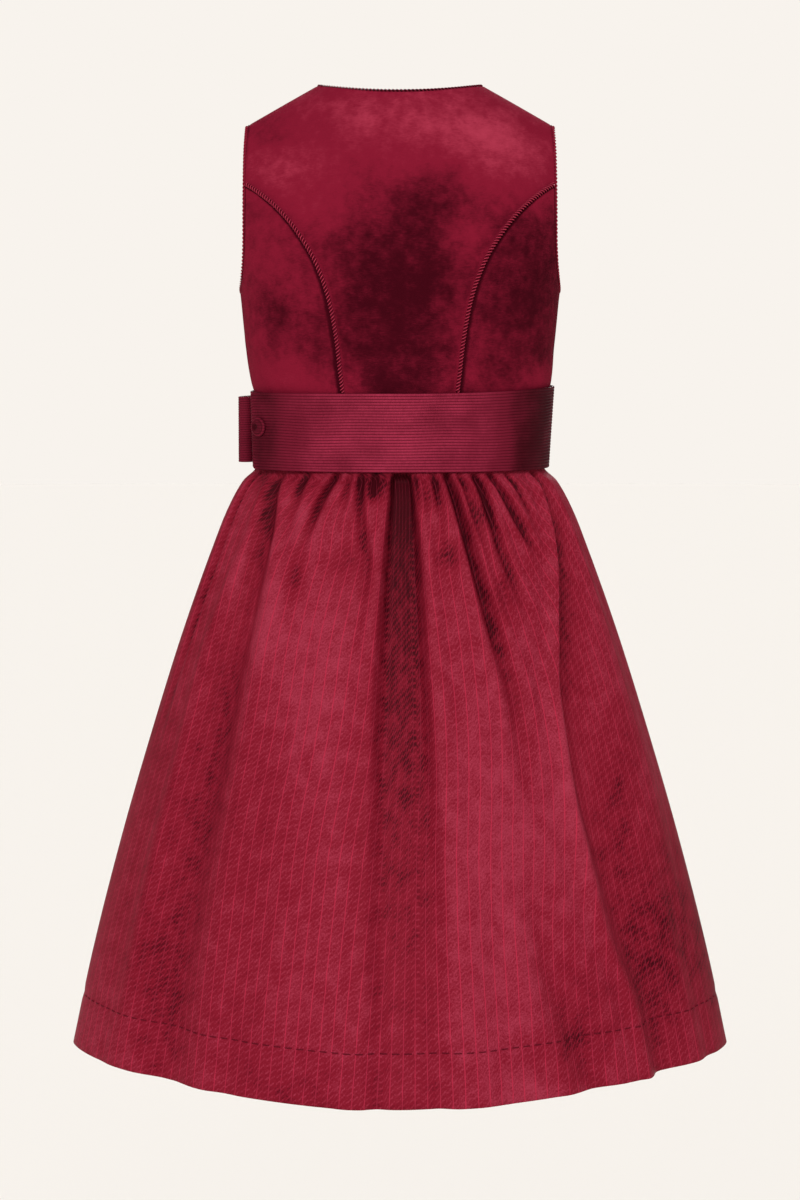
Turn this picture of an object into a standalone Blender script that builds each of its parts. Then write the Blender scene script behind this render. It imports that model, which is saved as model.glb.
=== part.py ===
"""A girl's sleeveless dirndl, filled out as if worn, with nobody in it.

The velvet bodice has a centre back, two side backs and two fronts, which meet edge to edge at the
centre front. Twisted cord runs along the two curved back seams and edges the neck and the armholes.
The gathered skirt has a back and a front. A ribbed belt goes round the waist, its ends overlap at the
wearer's left under a flat bow, and a cloth-covered press stud holds them.

The frame has +Z up, +Y out of the wearer's front and +X to the wearer's right. Its origin lies midway
between the shoulder seams, halfway down their slope. Sizes in the tables are in millimetres.
"""

from collections import namedtuple

import bmesh
import bpy
import numpy as np

MM = 0.001
MERGE_DISTANCE = 0.00001

SEAM_GAP = 0.36
VELVET_WALL = 2.2
SKIRT_WALL = 1.2
BELT_WALL = 1.6
RIBBON_WALL = 1.2

WAIST_SEAM_HEIGHT = -253.0
SHOULDER_CURVE_HEIGHT = -120.0
UNDERARM_HEIGHT = -147.0
NECK_POINT_WIDTH = 64.5
NECK_POINT_HEIGHT = 12.2
SHOULDER_SLOPE = 0.579
SHOULDER_ROUNDING = 20.0
SHOULDER_POWER = 1.6
BACK_NECK_HEIGHT = 6.0
BACK_NECK_RISE = 6.2
FRONT_NECK_BOTTOM = -82.0
# How far below the armhole, as a level, the side back's tip stops.
SEAM_TIP = 0.008
# Steps over which the surface's direction is measured, and levels that count as one.
NUDGE_TURN = 0.4
NUDGE_LEVEL = 0.02
SAME_LEVEL = 1e-6

# A level section through the bodice or the skirt: an oval with its half width, its depths behind and in
# front of the middle, and a power that makes it boxier than an ellipse above 2 and more pointed below.
Section = namedtuple("Section", "at half_width back front power")

# Body form by level: 0 is the waist seam, 1 where the shoulders start to curve in, 2 the shoulder line.
TORSO = [Section(*row) for row in (
    (0.00, 111.6, 77.4, 81.4, 2.25),
    (0.13, 111.9, 77.8, 82.0, 2.25),
    (0.22, 112.8, 78.6, 83.0, 2.25),
    (0.29, 115.2, 80.2, 84.8, 2.25),
    (0.41, 118.0, 82.5, 87.0, 2.25),
    (0.59, 120.6, 85.0, 89.5, 2.28),
    (0.80, 123.3, 87.5, 92.0, 2.30),
    (1.00, 127.0, 89.5, 93.0, 2.30),
    (1.50, 132.5, 91.0, 92.5, 2.30),
    (2.00, 134.0, 92.0, 92.0, 2.30),
)]

# Cut edges of the bodice. Each pair is a height and how far the edge lies from the centre line there.
BACK_SEAM = ((-253.0, 42.0), (-221.0, 43.0), (-205.0, 44.7), (-182.0, 47.2), (-151.0, 52.8),
             (-124.0, 62.0), (-101.0, 75.5), (-83.0, 90.5), (-70.0, 106.0), (-62.0, 118.6), (-56.0, 129.0))
BACK_ARMHOLE = ((-147.0, 123.6), (-132.0, 121.0), (-120.0, 119.6), (-105.0, 118.8), (-62.0, 118.4),
                (-40.0, 118.1), (-18.0, 117.1))
FRONT_ARMHOLE = ((-147.0, 123.6), (-134.0, 119.8), (-120.0, 116.0), (-92.0, 111.8), (-62.0, 110.8),
                 (-40.0, 112.8), (-18.0, 117.1))
FRONT_NECK = ((-82.0, 0.15), (-78.0, 14.0), (-64.0, 32.0), (-40.0, 49.0), (-12.0, 60.0), (12.2, 64.5))

# Rows of points up the bodice, by level, and how much closer together they get at an edge's sharp turn.
WAIST_LEVELS = (0.0, 0.13, 0.22, 0.29)
CHEST_LEVEL = 0.41
CHEST_ROWS = 4
UNDERARM_ROWS = 4
UNDERARM_CROWDING = 1.6
BLADE_ROWS = 4
SHOULDER_ROWS = 8
FRONT_NECK_ROWS = 9
FRONT_NECK_CROWDING = 1.15
SIDE_COLUMNS = 6
FRONT_COLUMNS = 8
SHOULDER_COLUMNS = 2
NECK_COLUMNS = 9

# Skirt form by height, from the waist seam to the hem.
SKIRT = [Section(*row) for row in (
    (-253.6, 110.6, 76.6, 80.6, 2.25),
    (-277.0, 110.8, 76.8, 80.8, 2.22),
    (-281.0, 111.8, 77.6, 81.6, 2.18),
    (-291.0, 121.8, 86.5, 90.5, 2.10),
    (-314.0, 134.4, 97.5, 100.0, 2.05),
    (-338.0, 144.0, 106.0, 108.0, 2.00),
    (-408.0, 169.0, 126.0, 127.0, 1.90),
    (-479.0, 191.3, 143.0, 143.0, 1.80),
    (-574.0, 218.7, 164.0, 163.0, 1.68),
    (-669.5, 242.7, 184.0, 182.0, 1.60),
    (-741.0, 257.8, 198.0, 195.0, 1.55),
)]
SKIRT_ROWS = (-253.6, -277.0, -281.0, -286.5, -294.0, -306.0, -324.0, -352.0, -395.0, -455.0, -540.0, -640.0,
              -741.0)
# How far down the hem hangs at the side seams and at the centre, as a share of its height.
HEM_SIDE_SHARE = 0.986
HEM_CENTRE_SHARE = 1.003

# Folds of the skirt, inward troughs between low crests, with a row for each. Places are shares of the half
# width at the waist, a third of the way down and at the hem, negative to the wearer's left. Reaches are
# from a trough's line to its two sides at the waist, spread is how many times wider they are at the hem
# and flat is the share of the reach that is a flat floor. Depths are at the same three heights.
Fold = namedtuple("Fold", "waist third hem left right spread flat deep_waist deep_third deep_hem")
BACK_FOLDS = [Fold(*row) for row in (
    (-0.930, -0.935, -0.930, 7.0, 7.0, 3.0, 0.00, 6.0, 9.0, 5.0),
    (-0.770, -0.742, -0.720, 8.0, 7.5, 3.6, 0.15, 7.0, 14.0, 7.0),
    (-0.580, -0.590, -0.560, 6.0, 6.0, 3.0, 0.00, 5.0, 1.0, 1.0),
    (-0.410, -0.560, -0.420, 5.5, 6.5, 3.0, 0.00, 9.0, 0.5, 2.0),
    (-0.205, -0.175, -0.240, 6.0, 6.0, 3.0, 0.00, 7.5, 3.0, 0.5),
    (0.015, 0.012, 0.020, 7.0, 7.0, 5.2, 0.40, 15.0, 13.0, 4.5),
    (0.170, 0.200, 0.240, 5.5, 5.5, 3.2, 0.00, 5.0, 1.0, 0.5),
    (0.305, 0.425, 0.440, 5.5, 6.5, 3.0, 0.00, 12.0, 7.0, 0.5),
    (0.475, 0.590, 0.560, 6.0, 6.0, 6.0, 0.00, 9.0, 1.0, 5.0),
    (0.620, 0.700, 0.690, 5.5, 5.5, 3.0, 0.00, 9.0, 1.0, 0.5),
    (0.800, 0.790, 0.850, 6.0, 8.0, 4.0, 0.15, 13.0, 16.0, 8.0),
    (0.945, 0.955, 0.960, 7.0, 7.0, 2.0, 0.00, 6.0, 2.0, 3.0),
)]
FRONT_FOLDS = [Fold(*row) for row in (
    (-0.930, -0.920, -0.930, 7.0, 7.0, 3.2, 0.00, 7.0, 8.0, 5.0),
    (-0.770, -0.750, -0.740, 7.0, 7.5, 3.6, 0.15, 9.0, 12.0, 7.0),
    (-0.590, -0.610, -0.580, 6.0, 6.0, 3.0, 0.00, 8.0, 3.0, 1.0),
    (-0.400, -0.420, -0.420, 6.5, 7.0, 4.0, 0.20, 11.0, 10.0, 4.0),
    (-0.200, -0.210, -0.220, 6.0, 6.0, 3.2, 0.00, 8.0, 2.0, 1.0),
    (-0.010, 0.010, 0.000, 6.5, 6.0, 3.6, 0.00, 10.0, 6.0, 2.0),
    (0.190, 0.220, 0.210, 6.0, 6.0, 3.0, 0.00, 7.0, 2.0, 1.0),
    (0.380, 0.410, 0.430, 7.0, 6.5, 4.2, 0.25, 12.0, 12.0, 5.0),
    (0.580, 0.610, 0.620, 6.0, 6.0, 3.0, 0.00, 8.0, 3.0, 1.0),
    (0.760, 0.770, 0.780, 7.0, 7.0, 3.6, 0.10, 10.0, 11.0, 6.0),
    (0.930, 0.930, 0.940, 7.0, 7.0, 2.6, 0.00, 7.0, 6.0, 4.0),
)]
# The shares of the way down the skirt at which a fold's places and depths are given.
FOLD_STATIONS = (0, 1 / 3, 1)
# A crest beside a trough: its height as a share of the depth, and its place and reach in reaches.
CREST_SHARE = 0.20
CREST_PLACE = 1.25
CREST_REACH = 0.5
FLOOR_SHARE = 0.3
# Columns of points may come no closer than this share of the mean space between folds.
COLUMN_SHARE = 0.25
FOLD_START_HEIGHT = -278.5
FOLD_FULL_HEIGHT = -289.0
FOLD_UNDER_BELT = 0.1
SIDE_SEAM_EASE = 8.0
OVAL_STEPS = 720

BELT_TOP = -220.6
BELT_BOTTOM = -280.2
BELT_SIDE_RISE = 3.0
BELT_CLEARANCE = 1.0
BELT_SIDE_SLACK = 1.4
BELT_TOP_FLARE = 1.2
RIB_COUNT = 27
RIB_RELIEF = 0.4
BELT_LAP_GAP = 0.4
BELT_UNDER_TURN = 146.0
BELT_STEP = 12.0
BELT_STEPS = 31
BELT_LIFT_TURNS = (116.0, 141.0)
BELT_SPRING = 5.5
BELT_SPRING_TURNS = (144.0, 164.0)
BELT_CORNER = 2.2
BELT_CORNER_TURN = 1.3

# How far along the belt's last stretch the stud sits.
STUD_SHARE = 0.54
STUD_HEIGHT = -247.5
STUD_RADIUS = 7.4
STUD_THICK = 1.5
STUD_STAND_OFF = 0.7
STUD_SIDES = 20
# The stud's profile from the middle of its back to the middle of its dimpled face: shares of its radius
# and of its thickness.
STUD_PROFILE = ((0.0, 0.0), (1.0, 0.0), (1.0, 0.6), (0.86, 1.0), (0.45, 0.92), (0.2, 0.65), (0.0, 0.6))

CORD_RADIUS = 1.5
CORD_STAND_OFF = 0.46
EDGE_CORD_RADIUS = 1.3
NECK_CORD_START = 0.9
SEAM_CORD_POINTS = 18
# A curve's bevel has four sides and two more for each step of its resolution.
CORD_BEVEL_STEPS = 1

BOW_TURN = 224.0
BOW_LOOP_START = 4.0
BOW_LOOP_LENGTH = 54.0
BOW_HEIGHT = 51.0
BOW_PINCH_HEIGHT = 27.0
BOW_MIDDLE = -252.2
BOW_STAND_OFF = 1.9
BOW_LEAN = 1.5
BOW_PINCH_GAP = 2.6
BOW_LOOP_THICK = 7.6
BOW_RIBS = 28
BOW_RIB_RELIEF = 0.25
# The stretch of belt, in degrees to each side of the bow's middle, along which the bow is laid.
BOW_ARC = 60.0
BOW_ARC_STEPS = 120
# Along a loop's leaf, as shares of its length, and round its end, in degrees. It is full at these shares.
LEAF_SHARES = (0.0, 0.25, 0.58, 0.9)
LOOP_END_ANGLES = (-60.0, 0.0, 60.0)
LOOP_THICK_SHARE = 0.7
LOOP_HIGH_SHARE = 0.55
KNOT_WIDTH = 19.0
KNOT_HEIGHT = 38.0
KNOT_DEPTH = 8.2
# Taken from a smooth curve over the belt, which is faceted and lies a little inside it.
KNOT_STAND_OFF = -0.05
KNOT_RIBS = 10
KNOT_ANGLES = (0.0, 30.0, 60.0, 80.0, 100.0, 120.0, 150.0, 180.0)
KNOT_BOXINESS = 0.6

VELVET_COLOUR = "#7A1A2B"
SKIRT_COLOUR = "#8C2335"
BELT_COLOUR = "#7C2232"
CORD_COLOUR = "#8E2438"


def linear_colour(code):
    """An sRGB hex value as linear red, green and blue, with full alpha."""
    parts = [int(code[i:i + 2], 16) / 255 for i in (1, 3, 5)]
    return [p / 12.92 if p <= 0.04045 else ((p + 0.055) / 1.055) ** 2.4 for p in parts] + [1.0]


def make_material(name, colour, roughness):
    """A cloth or cord: no metal, with its own colour and roughness."""
    material = bpy.data.materials.new(name)
    material.use_nodes = True
    shader = material.node_tree.nodes["Principled BSDF"]
    shader.inputs["Base Color"].default_value = linear_colour(colour)
    shader.inputs["Roughness"].default_value = roughness
    shader.inputs["Metallic"].default_value = 0.0
    return material


def smooth_curve(points, at):
    """A smooth curve through points of two numbers: cubic pieces that never overshoot."""
    x, y = np.array(sorted(points), dtype=float).T
    step, rise = np.diff(x), np.diff(y)
    slope = rise / step
    tangent = np.empty_like(y)
    tangent[0], tangent[-1] = slope[0], slope[-1]
    same_way = slope[:-1] * slope[1:] > 0
    mean = 2 * slope[:-1] * slope[1:] / np.where(same_way, slope[:-1] + slope[1:], 1.0)
    tangent[1:-1] = np.where(same_way, mean, 0.0)
    at = np.clip(at, x[0], x[-1])
    i = np.clip(np.searchsorted(x, at, side="right") - 1, 0, len(x) - 2)
    t = (at - x[i]) / step[i]
    return (y[i] + step[i] * t * (1 - t) ** 2 * tangent[i] + rise[i] * t * t * (3 - 2 * t)
            - step[i] * t * t * (1 - t) * tangent[i + 1])


def section_at(table, at):
    """Half width, back depth, front depth and power of a table's section at a level or height."""
    return [smooth_curve([(row.at, getattr(row, name)) for row in table], at) for name in Section._fields[1:]]


def unit(vectors):
    """Vectors made one long."""
    return vectors / np.maximum(np.linalg.norm(vectors, axis=-1, keepdims=True), 1e-9)


def signed_power(values, power):
    """A power of the values' sizes, with their signs kept."""
    return np.sign(values) * np.abs(values) ** power


def smooth_step(values):
    """From 0 at 0 to 1 at 1, level at both ends."""
    t = np.clip(values, 0, 1)
    return t * t * (3 - 2 * t)


def oval(turn, half_width, back, front, power):
    """Points of a section's oval, by turn in degrees."""
    angle = np.radians(turn)
    side = signed_power(np.sin(angle), 2 / power)
    return half_width * signed_power(np.cos(angle), 2 / power), -np.where(side > 0, back, front) * side


def shoulder_height(across):
    """The height of the shoulder line at a distance from the centre, rounded where its two slopes meet."""
    run = np.hypot(across, SHOULDER_ROUNDING) - np.hypot(NECK_POINT_WIDTH, SHOULDER_ROUNDING)
    return NECK_POINT_HEIGHT - SHOULDER_SLOPE * run


def torso_point(turn, level):
    """A point of the bodice's outer surface. Turn is 0 at the wearer's right side, 90 at the centre back, 180
    at the left side and 270 at the centre front."""
    turn, level = np.broadcast_arrays(np.asarray(turn, float), np.asarray(level, float))
    x, y = oval(turn, *section_at(TORSO, level))
    lean = np.clip(level - 1, 0, 1) * np.pi / 2
    y = y * np.cos(lean) ** (2 / SHOULDER_POWER)
    low = WAIST_SEAM_HEIGHT + (SHOULDER_CURVE_HEIGHT - WAIST_SEAM_HEIGHT) * np.minimum(level, 1)
    z = low + (shoulder_height(x) - SHOULDER_CURVE_HEIGHT) * np.sin(lean) ** (2 / SHOULDER_POWER)
    return np.stack([x, y, z], axis=-1)


def torso_normal(turn, level):
    """The outward direction of that surface, from two small steps on it."""
    turn, level = np.broadcast_arrays(np.asarray(turn, float), np.asarray(level, float))
    top, low = np.minimum(level + NUDGE_LEVEL, 2.0), np.minimum(level, 2.0 - NUDGE_LEVEL / 2) - NUDGE_LEVEL
    along = torso_point(turn + NUDGE_TURN, level) - torso_point(turn - NUDGE_TURN, level)
    up = torso_point(turn, top) - torso_point(turn, low)
    normal = np.cross(up, along)
    normal[..., 1] *= level < 2 - SAME_LEVEL
    return unit(normal)


def halve(low, high, too_low, steps=40):
    """The value between low and high at which too_low turns from true to false."""
    for _ in range(steps):
        middle = (low + high) / 2
        below = too_low(middle)
        low, high = np.where(below, middle, low), np.where(below, high, middle)
    return (low + high) / 2


def turn_at_edge(edge, level, face):
    """The turn, on the wearer's right, at which a level meets an edge given by its distance from the centre."""
    centre = 90.0 if face == "back" else -90.0

    def too_near(share):
        point = torso_point(centre * (1 - share), level)
        return point[..., 0] < smooth_curve(edge, point[..., 2])

    level = np.asarray(level, float)
    return centre * (1 - halve(np.zeros(level.shape), np.ones(level.shape), too_near))


def level_of_height(height):
    """The level of a height below the shoulders' curve."""
    return (height - WAIST_SEAM_HEIGHT) / (SHOULDER_CURVE_HEIGHT - WAIST_SEAM_HEIGHT)


def crossing_level():
    """The level at which the curved back seam runs into the armhole."""
    return float(halve(np.float64(1.1), np.float64(1.8), lambda level: (
        turn_at_edge(BACK_SEAM, level, "back") > turn_at_edge(BACK_ARMHOLE, level, "back"))))


def front_neck_level():
    """The level of the neck's lowest point at the centre front."""
    return float(halve(np.float64(1.0), np.float64(1.9), lambda level: (
        torso_point(-90.0, level)[2] < FRONT_NECK_BOTTOM)))


def body_levels():
    """Levels from the waist seam to the underarm."""
    chest = np.linspace(CHEST_LEVEL, level_of_height(UNDERARM_HEIGHT), CHEST_ROWS)
    return np.concatenate([WAIST_LEVELS, chest])


def underarm_levels():
    """Levels from the underarm to where the shoulders curve in, closer together at the armhole's bottom."""
    low = level_of_height(UNDERARM_HEIGHT)
    return low + (1 - low) * np.linspace(0, 1, UNDERARM_ROWS + 1)[1:] ** UNDERARM_CROWDING


def back_levels():
    """Levels of the centre back, and the number of them up to where the seams meet the armholes."""
    crossing = crossing_level()
    blade = np.linspace(1, crossing - SEAM_TIP, BLADE_ROWS + 1)[1:]
    low = np.concatenate([body_levels(), underarm_levels(), blade])
    return np.concatenate([low, np.linspace(crossing, 2, SHOULDER_ROWS)]), len(low)


def front_levels():
    """Levels of a front, and the number of them up to the neck's lowest point."""
    neck = front_neck_level()
    low = np.concatenate([body_levels(), underarm_levels(), [(1 + neck) / 2, neck]])
    rest = neck + (2 - neck) * np.linspace(0, 1, FRONT_NECK_ROWS + 1)[1:] ** FRONT_NECK_CROWDING
    return np.concatenate([low, rest]), len(low)


def outer_turns(levels, armhole, face):
    """The turn of the side seam, and above it of the armhole's edge."""
    at_armhole = turn_at_edge(armhole, levels, face)
    return np.where(levels <= level_of_height(UNDERARM_HEIGHT) + SAME_LEVEL, 0.0, at_armhole)


def inset(points, gap):
    """Moves the four edges of a grid of points inwards, square to each edge, for the gap at a seam."""
    moved = points.copy()
    for axis in (0, 1):
        rows, target = np.moveaxis(points, axis, 0), np.moveaxis(moved, axis, 0)
        for edge, beside in ((0, 1), (-1, -2)):
            inward = rows[beside] - rows[edge]
            along = unit(np.gradient(rows[edge], axis=0))
            inward = inward - along * (inward * along).sum(-1, keepdims=True)
            target[edge] += gap * unit(inward)
    return moved


def add_object(name, data, material):
    """An object of a mesh or a curve, with its material, in the scene."""
    data.materials.append(material)
    thing = bpy.data.objects.new(name, data)
    bpy.context.scene.collection.objects.link(thing)
    return thing


def add_mesh(name, points, faces, material):
    """A smooth mesh object from points in millimetres."""
    mesh = bpy.data.meshes.new(name)
    mesh.from_pydata((np.asarray(points) * MM).tolist(), [], faces)
    mesh.validate()
    mesh.shade_smooth()
    return add_object(name, mesh, material)


def add_cord(name, path, radius, material, closed=False):
    """A round cord along a path of points in millimetres: a curve with a bevel and filled ends."""
    curve = bpy.data.curves.new(name, "CURVE")
    curve.dimensions = "3D"
    spline = curve.splines.new("POLY")
    spline.points.add(len(path) - 1)
    spline.points.foreach_set("co", np.column_stack([path * MM, np.ones(len(path))]).ravel())
    spline.use_cyclic_u = closed
    curve.bevel_depth = radius * MM
    curve.bevel_resolution = CORD_BEVEL_STEPS
    curve.use_fill_caps = not closed
    return add_object(name, curve, material)


def wall_of(name, outer, inner, material, flip=False):
    """A closed cloth wall between two grids of points, with a rim along their four edges."""
    rows, columns = outer.shape[:2]
    index = np.arange(rows * columns).reshape(rows, columns)
    back = index + rows * columns
    faces = []

    def strip(a, b, c, d):
        faces.extend(np.stack([a, b, c, d], axis=-1).reshape(-1, 4).tolist())

    strip(index[:-1, :-1], index[:-1, 1:], index[1:, 1:], index[1:, :-1])
    strip(back[:-1, :-1], back[1:, :-1], back[1:, 1:], back[:-1, 1:])
    strip(index[0, 1:], index[0, :-1], back[0, :-1], back[0, 1:])
    strip(index[-1, :-1], index[-1, 1:], back[-1, 1:], back[-1, :-1])
    strip(index[:-1, 0], index[1:, 0], back[1:, 0], back[:-1, 0])
    strip(index[1:, -1], index[:-1, -1], back[:-1, -1], back[1:, -1])
    if flip:
        faces = [face[::-1] for face in faces]
    points = np.concatenate([outer.reshape(-1, 3), inner.reshape(-1, 3)])
    return add_mesh(name, points, faces, material)


def panel_of(name, levels, first_turns, last_turns, columns, material):
    """A bodice panel between two edges, each given by a turn for every level."""
    share = np.linspace(0, 1, columns)
    turns = first_turns[:, None] + (last_turns - first_turns)[:, None] * share
    grid = np.broadcast_to(levels[:, None], turns.shape)
    outer = torso_point(turns, grid)
    normal = torso_normal(turns, grid)
    outer = inset(outer, SEAM_GAP / 2)
    return wall_of(name, outer, outer - VELVET_WALL * normal, material, flip=True)


def back_neck_level(across):
    """The level of the back neck's edge at a distance from the centre line."""
    share = np.minimum(np.abs(across) / NECK_POINT_WIDTH, 1)
    height = BACK_NECK_HEIGHT + BACK_NECK_RISE * share ** 2
    rise = (height - SHOULDER_CURVE_HEIGHT) / (shoulder_height(across) - SHOULDER_CURVE_HEIGHT)
    lean = np.arcsin(np.clip(rise, 0, 1) ** (SHOULDER_POWER / 2))
    return np.where(share < 1 - SAME_LEVEL, 1 + lean / (np.pi / 2), 2.0)


def back_centre_grid():
    """Turns and levels of the centre back: the curved seams below, the armholes and shoulders above, and
    the neck's edge along the top between the shoulders. Also the columns from one neck point to the other."""
    levels, low = back_levels()
    edge = turn_at_edge(BACK_ARMHOLE, levels, "back")
    edge[:low] = turn_at_edge(BACK_SEAM, levels[:low], "back")
    fine = np.linspace(edge[-1], 90, 400)
    neck_turn = np.interp(-NECK_POINT_WIDTH, -torso_point(fine, 2.0)[:, 0], fine)
    neck_share = (90 - neck_turn) / (90 - edge[-1])
    shoulder = np.linspace(1, neck_share, SHOULDER_COLUMNS + 1)[:-1]
    neck = neck_share * np.sin(np.linspace(np.pi / 2, -np.pi / 2, NECK_COLUMNS))
    shares = np.concatenate([shoulder, neck, -shoulder[::-1]])
    turns = 90 - (90 - edge)[:, None] * shares
    across = torso_point(turns[-1], 2.0)[:, 0]
    for _ in range(3):
        top = back_neck_level(across)
        across = torso_point(turns[-1], top)[:, 0]
    top[:len(shoulder) + 1] = top[-len(shoulder) - 1:] = 2.0
    crossing = levels[low]
    above = np.maximum(levels - crossing, 0) / (2 - crossing)
    grid = np.minimum(levels, crossing)[:, None] + above[:, None] * (top - crossing)
    return turns, grid, slice(len(shoulder), len(shoulder) + len(neck))


def make_back_centre(velvet):
    """The centre back, from the waist to the neck, with the shoulders' back halves."""
    turns, grid, _ = back_centre_grid()
    outer = inset(torso_point(turns, grid), SEAM_GAP / 2)
    wall_of("bodice_back_centre", outer, outer - VELVET_WALL * torso_normal(turns, grid), velvet, flip=True)


def make_back_sides(velvet):
    """The two side backs, which run up to a point where the curved seam meets the armhole."""
    levels, low = back_levels()
    levels = levels[:low]
    seam = turn_at_edge(BACK_SEAM, levels, "back")
    side = outer_turns(levels, BACK_ARMHOLE, "back")
    panel_of("bodice_back_side_right", levels, side, seam, SIDE_COLUMNS, velvet)
    panel_of("bodice_back_side_left", levels, 180 - seam, 180 - side, SIDE_COLUMNS, velvet)


def make_fronts(velvet):
    """The two fronts, which meet edge to edge at the centre and at the side seams and shoulders."""
    levels, low = front_levels()
    side = outer_turns(levels, FRONT_ARMHOLE, "front")
    centre = turn_at_edge(FRONT_NECK, levels, "front")
    centre[:low] = -90.0
    panel_of("bodice_front_right", levels, centre, side, FRONT_COLUMNS, velvet)
    panel_of("bodice_front_left", levels, -180 - side, -180 - centre, FRONT_COLUMNS, velvet)


def mirrored(points):
    """The same points on the wearer's other side."""
    return points * np.array([-1.0, 1.0, 1.0])


def make_seam_cords(cord):
    """Cord on the curved back seams, from the belt's top edge to just short of the armhole."""
    start = level_of_height(BELT_TOP + BELT_SIDE_RISE + CORD_RADIUS)
    levels = np.linspace(start, crossing_level() - 2 * SEAM_TIP, SEAM_CORD_POINTS)
    turns = turn_at_edge(BACK_SEAM, levels, "back")
    path = torso_point(turns, levels) + torso_normal(turns, levels) * (CORD_RADIUS + CORD_STAND_OFF)
    add_cord("seam_cord_right", path, CORD_RADIUS, cord)
    add_cord("seam_cord_left", mirrored(path), CORD_RADIUS, cord)


def beside_edge(turns, levels, side):
    """The line of a cord just off a cut edge, in the middle of the wall's thickness. Side is 1 where the
    edge runs with the panel on its wearer's-right hand seen from outside, and -1 where it is on the left."""
    edge, normal = torso_point(turns, levels), torso_normal(turns, levels)
    away = unit(side * np.cross(unit(np.gradient(edge, axis=0)), normal))
    return edge - normal * VELVET_WALL / 2 + away * (EDGE_CORD_RADIUS + SEAM_GAP)


def make_neck_cord(cord):
    """One cord round the neck, from the centre front over both shoulders and the back."""
    levels, low = front_levels()
    levels = levels[low - 1:]
    front = beside_edge(turn_at_edge(FRONT_NECK, levels, "front"), levels, 1)
    turns, grid, neck = back_centre_grid()
    back = beside_edge(turns[-1][neck], grid[-1][neck], 1)
    front[0] += (front[1] - front[0]) * (NECK_CORD_START - front[0, 0]) / (front[1, 0] - front[0, 0])
    corner = (front[-1:] + back[:1]) / 2
    right = np.concatenate([front[:-1], corner])
    add_cord("neck_cord", np.concatenate([right, back[1:-1], mirrored(right)[::-1]]), EDGE_CORD_RADIUS, cord)


def armhole_edge(face, armhole, levels, side):
    """The line of the cord along one half of the right armhole, from the underarm to the shoulder."""
    levels = levels[levels >= level_of_height(UNDERARM_HEIGHT) - SAME_LEVEL]
    return beside_edge(outer_turns(levels, armhole, face), levels, side)


def make_armhole_cords(cord):
    """A ring of cord round each armhole: up the back, over the shoulder and down the front."""
    back = armhole_edge("back", BACK_ARMHOLE, back_levels()[0], 1)
    front = armhole_edge("front", FRONT_ARMHOLE, front_levels()[0], -1)
    underarm, shoulder = (back[:1] + front[:1]) / 2, (back[-1:] + front[-1:]) / 2
    path = np.concatenate([underarm, back[1:-1], shoulder, front[1:-1][::-1]])
    add_cord("armhole_cord_right", path, EDGE_CORD_RADIUS, cord, closed=True)
    add_cord("armhole_cord_left", mirrored(path), EDGE_CORD_RADIUS, cord, closed=True)


def half_oval(face, sizes):
    """Fine points of one half of an oval from the wearer's left to the right: x, y, the outward direction
    and the distance along it from its middle."""
    turn = np.linspace(180, 0 if face == "back" else 360, OVAL_STEPS + 1)
    x, y = oval(turn, *sizes)
    along = np.concatenate([[0], np.cumsum(np.hypot(np.diff(x), np.diff(y)))])
    step = np.stack([np.gradient(x), np.gradient(y)], axis=-1)
    outward = np.stack([step[:, 1], -step[:, 0]], axis=-1) * (1 if face == "back" else -1)
    outward[0], outward[-1] = (-1, 0), (1, 0)
    return x, y, unit(outward), along - along[-1] / 2


def share_down(height):
    """How far down the skirt a height is, from 0 at the waist to 1 at the hem."""
    return (SKIRT[0].at - height) / (SKIRT[0].at - SKIRT[-1].at)


def folds_at(face, height):
    """Places along the half oval, reaches to the left and right, flats and depths of the folds."""
    folds = BACK_FOLDS if face == "back" else FRONT_FOLDS
    down = share_down(height)
    sizes = section_at(SKIRT, height)
    x, _, _, along = half_oval(face, sizes)
    place = [np.interp(down, FOLD_STATIONS, (fold.waist, fold.third, fold.hem)) for fold in folds]
    depth = [np.interp(down, FOLD_STATIONS, (fold.deep_waist, fold.deep_third, fold.deep_hem))
             for fold in folds]
    started = smooth_step((FOLD_START_HEIGHT - height) / (FOLD_START_HEIGHT - FOLD_FULL_HEIGHT))
    depth = np.array(depth) * (FOLD_UNDER_BELT + (1 - FOLD_UNDER_BELT) * started)
    left, right, spread, flat = np.array([(fold.left, fold.right, fold.spread, fold.flat) for fold in folds]).T
    wider = 1 + (spread - 1) * down
    return np.interp(np.array(place) * sizes[0], x, along), left * wider, right * wider, flat, depth


def along_line(at, distance, values):
    """Values given along a line, read at other distances along it."""
    return np.stack([np.interp(at, distance, column) for column in values.T], axis=-1)


def fold_shape(reach, flat):
    """Depth of a fold across it: 1 over its flat floor, easing to 0 at its sides, below 0 at the crests."""
    trough = smooth_step((1 - reach) / (1 - flat))
    crest = smooth_step(1 - np.abs(reach - CREST_PLACE) / CREST_REACH)
    return trough - CREST_SHARE * crest


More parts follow.
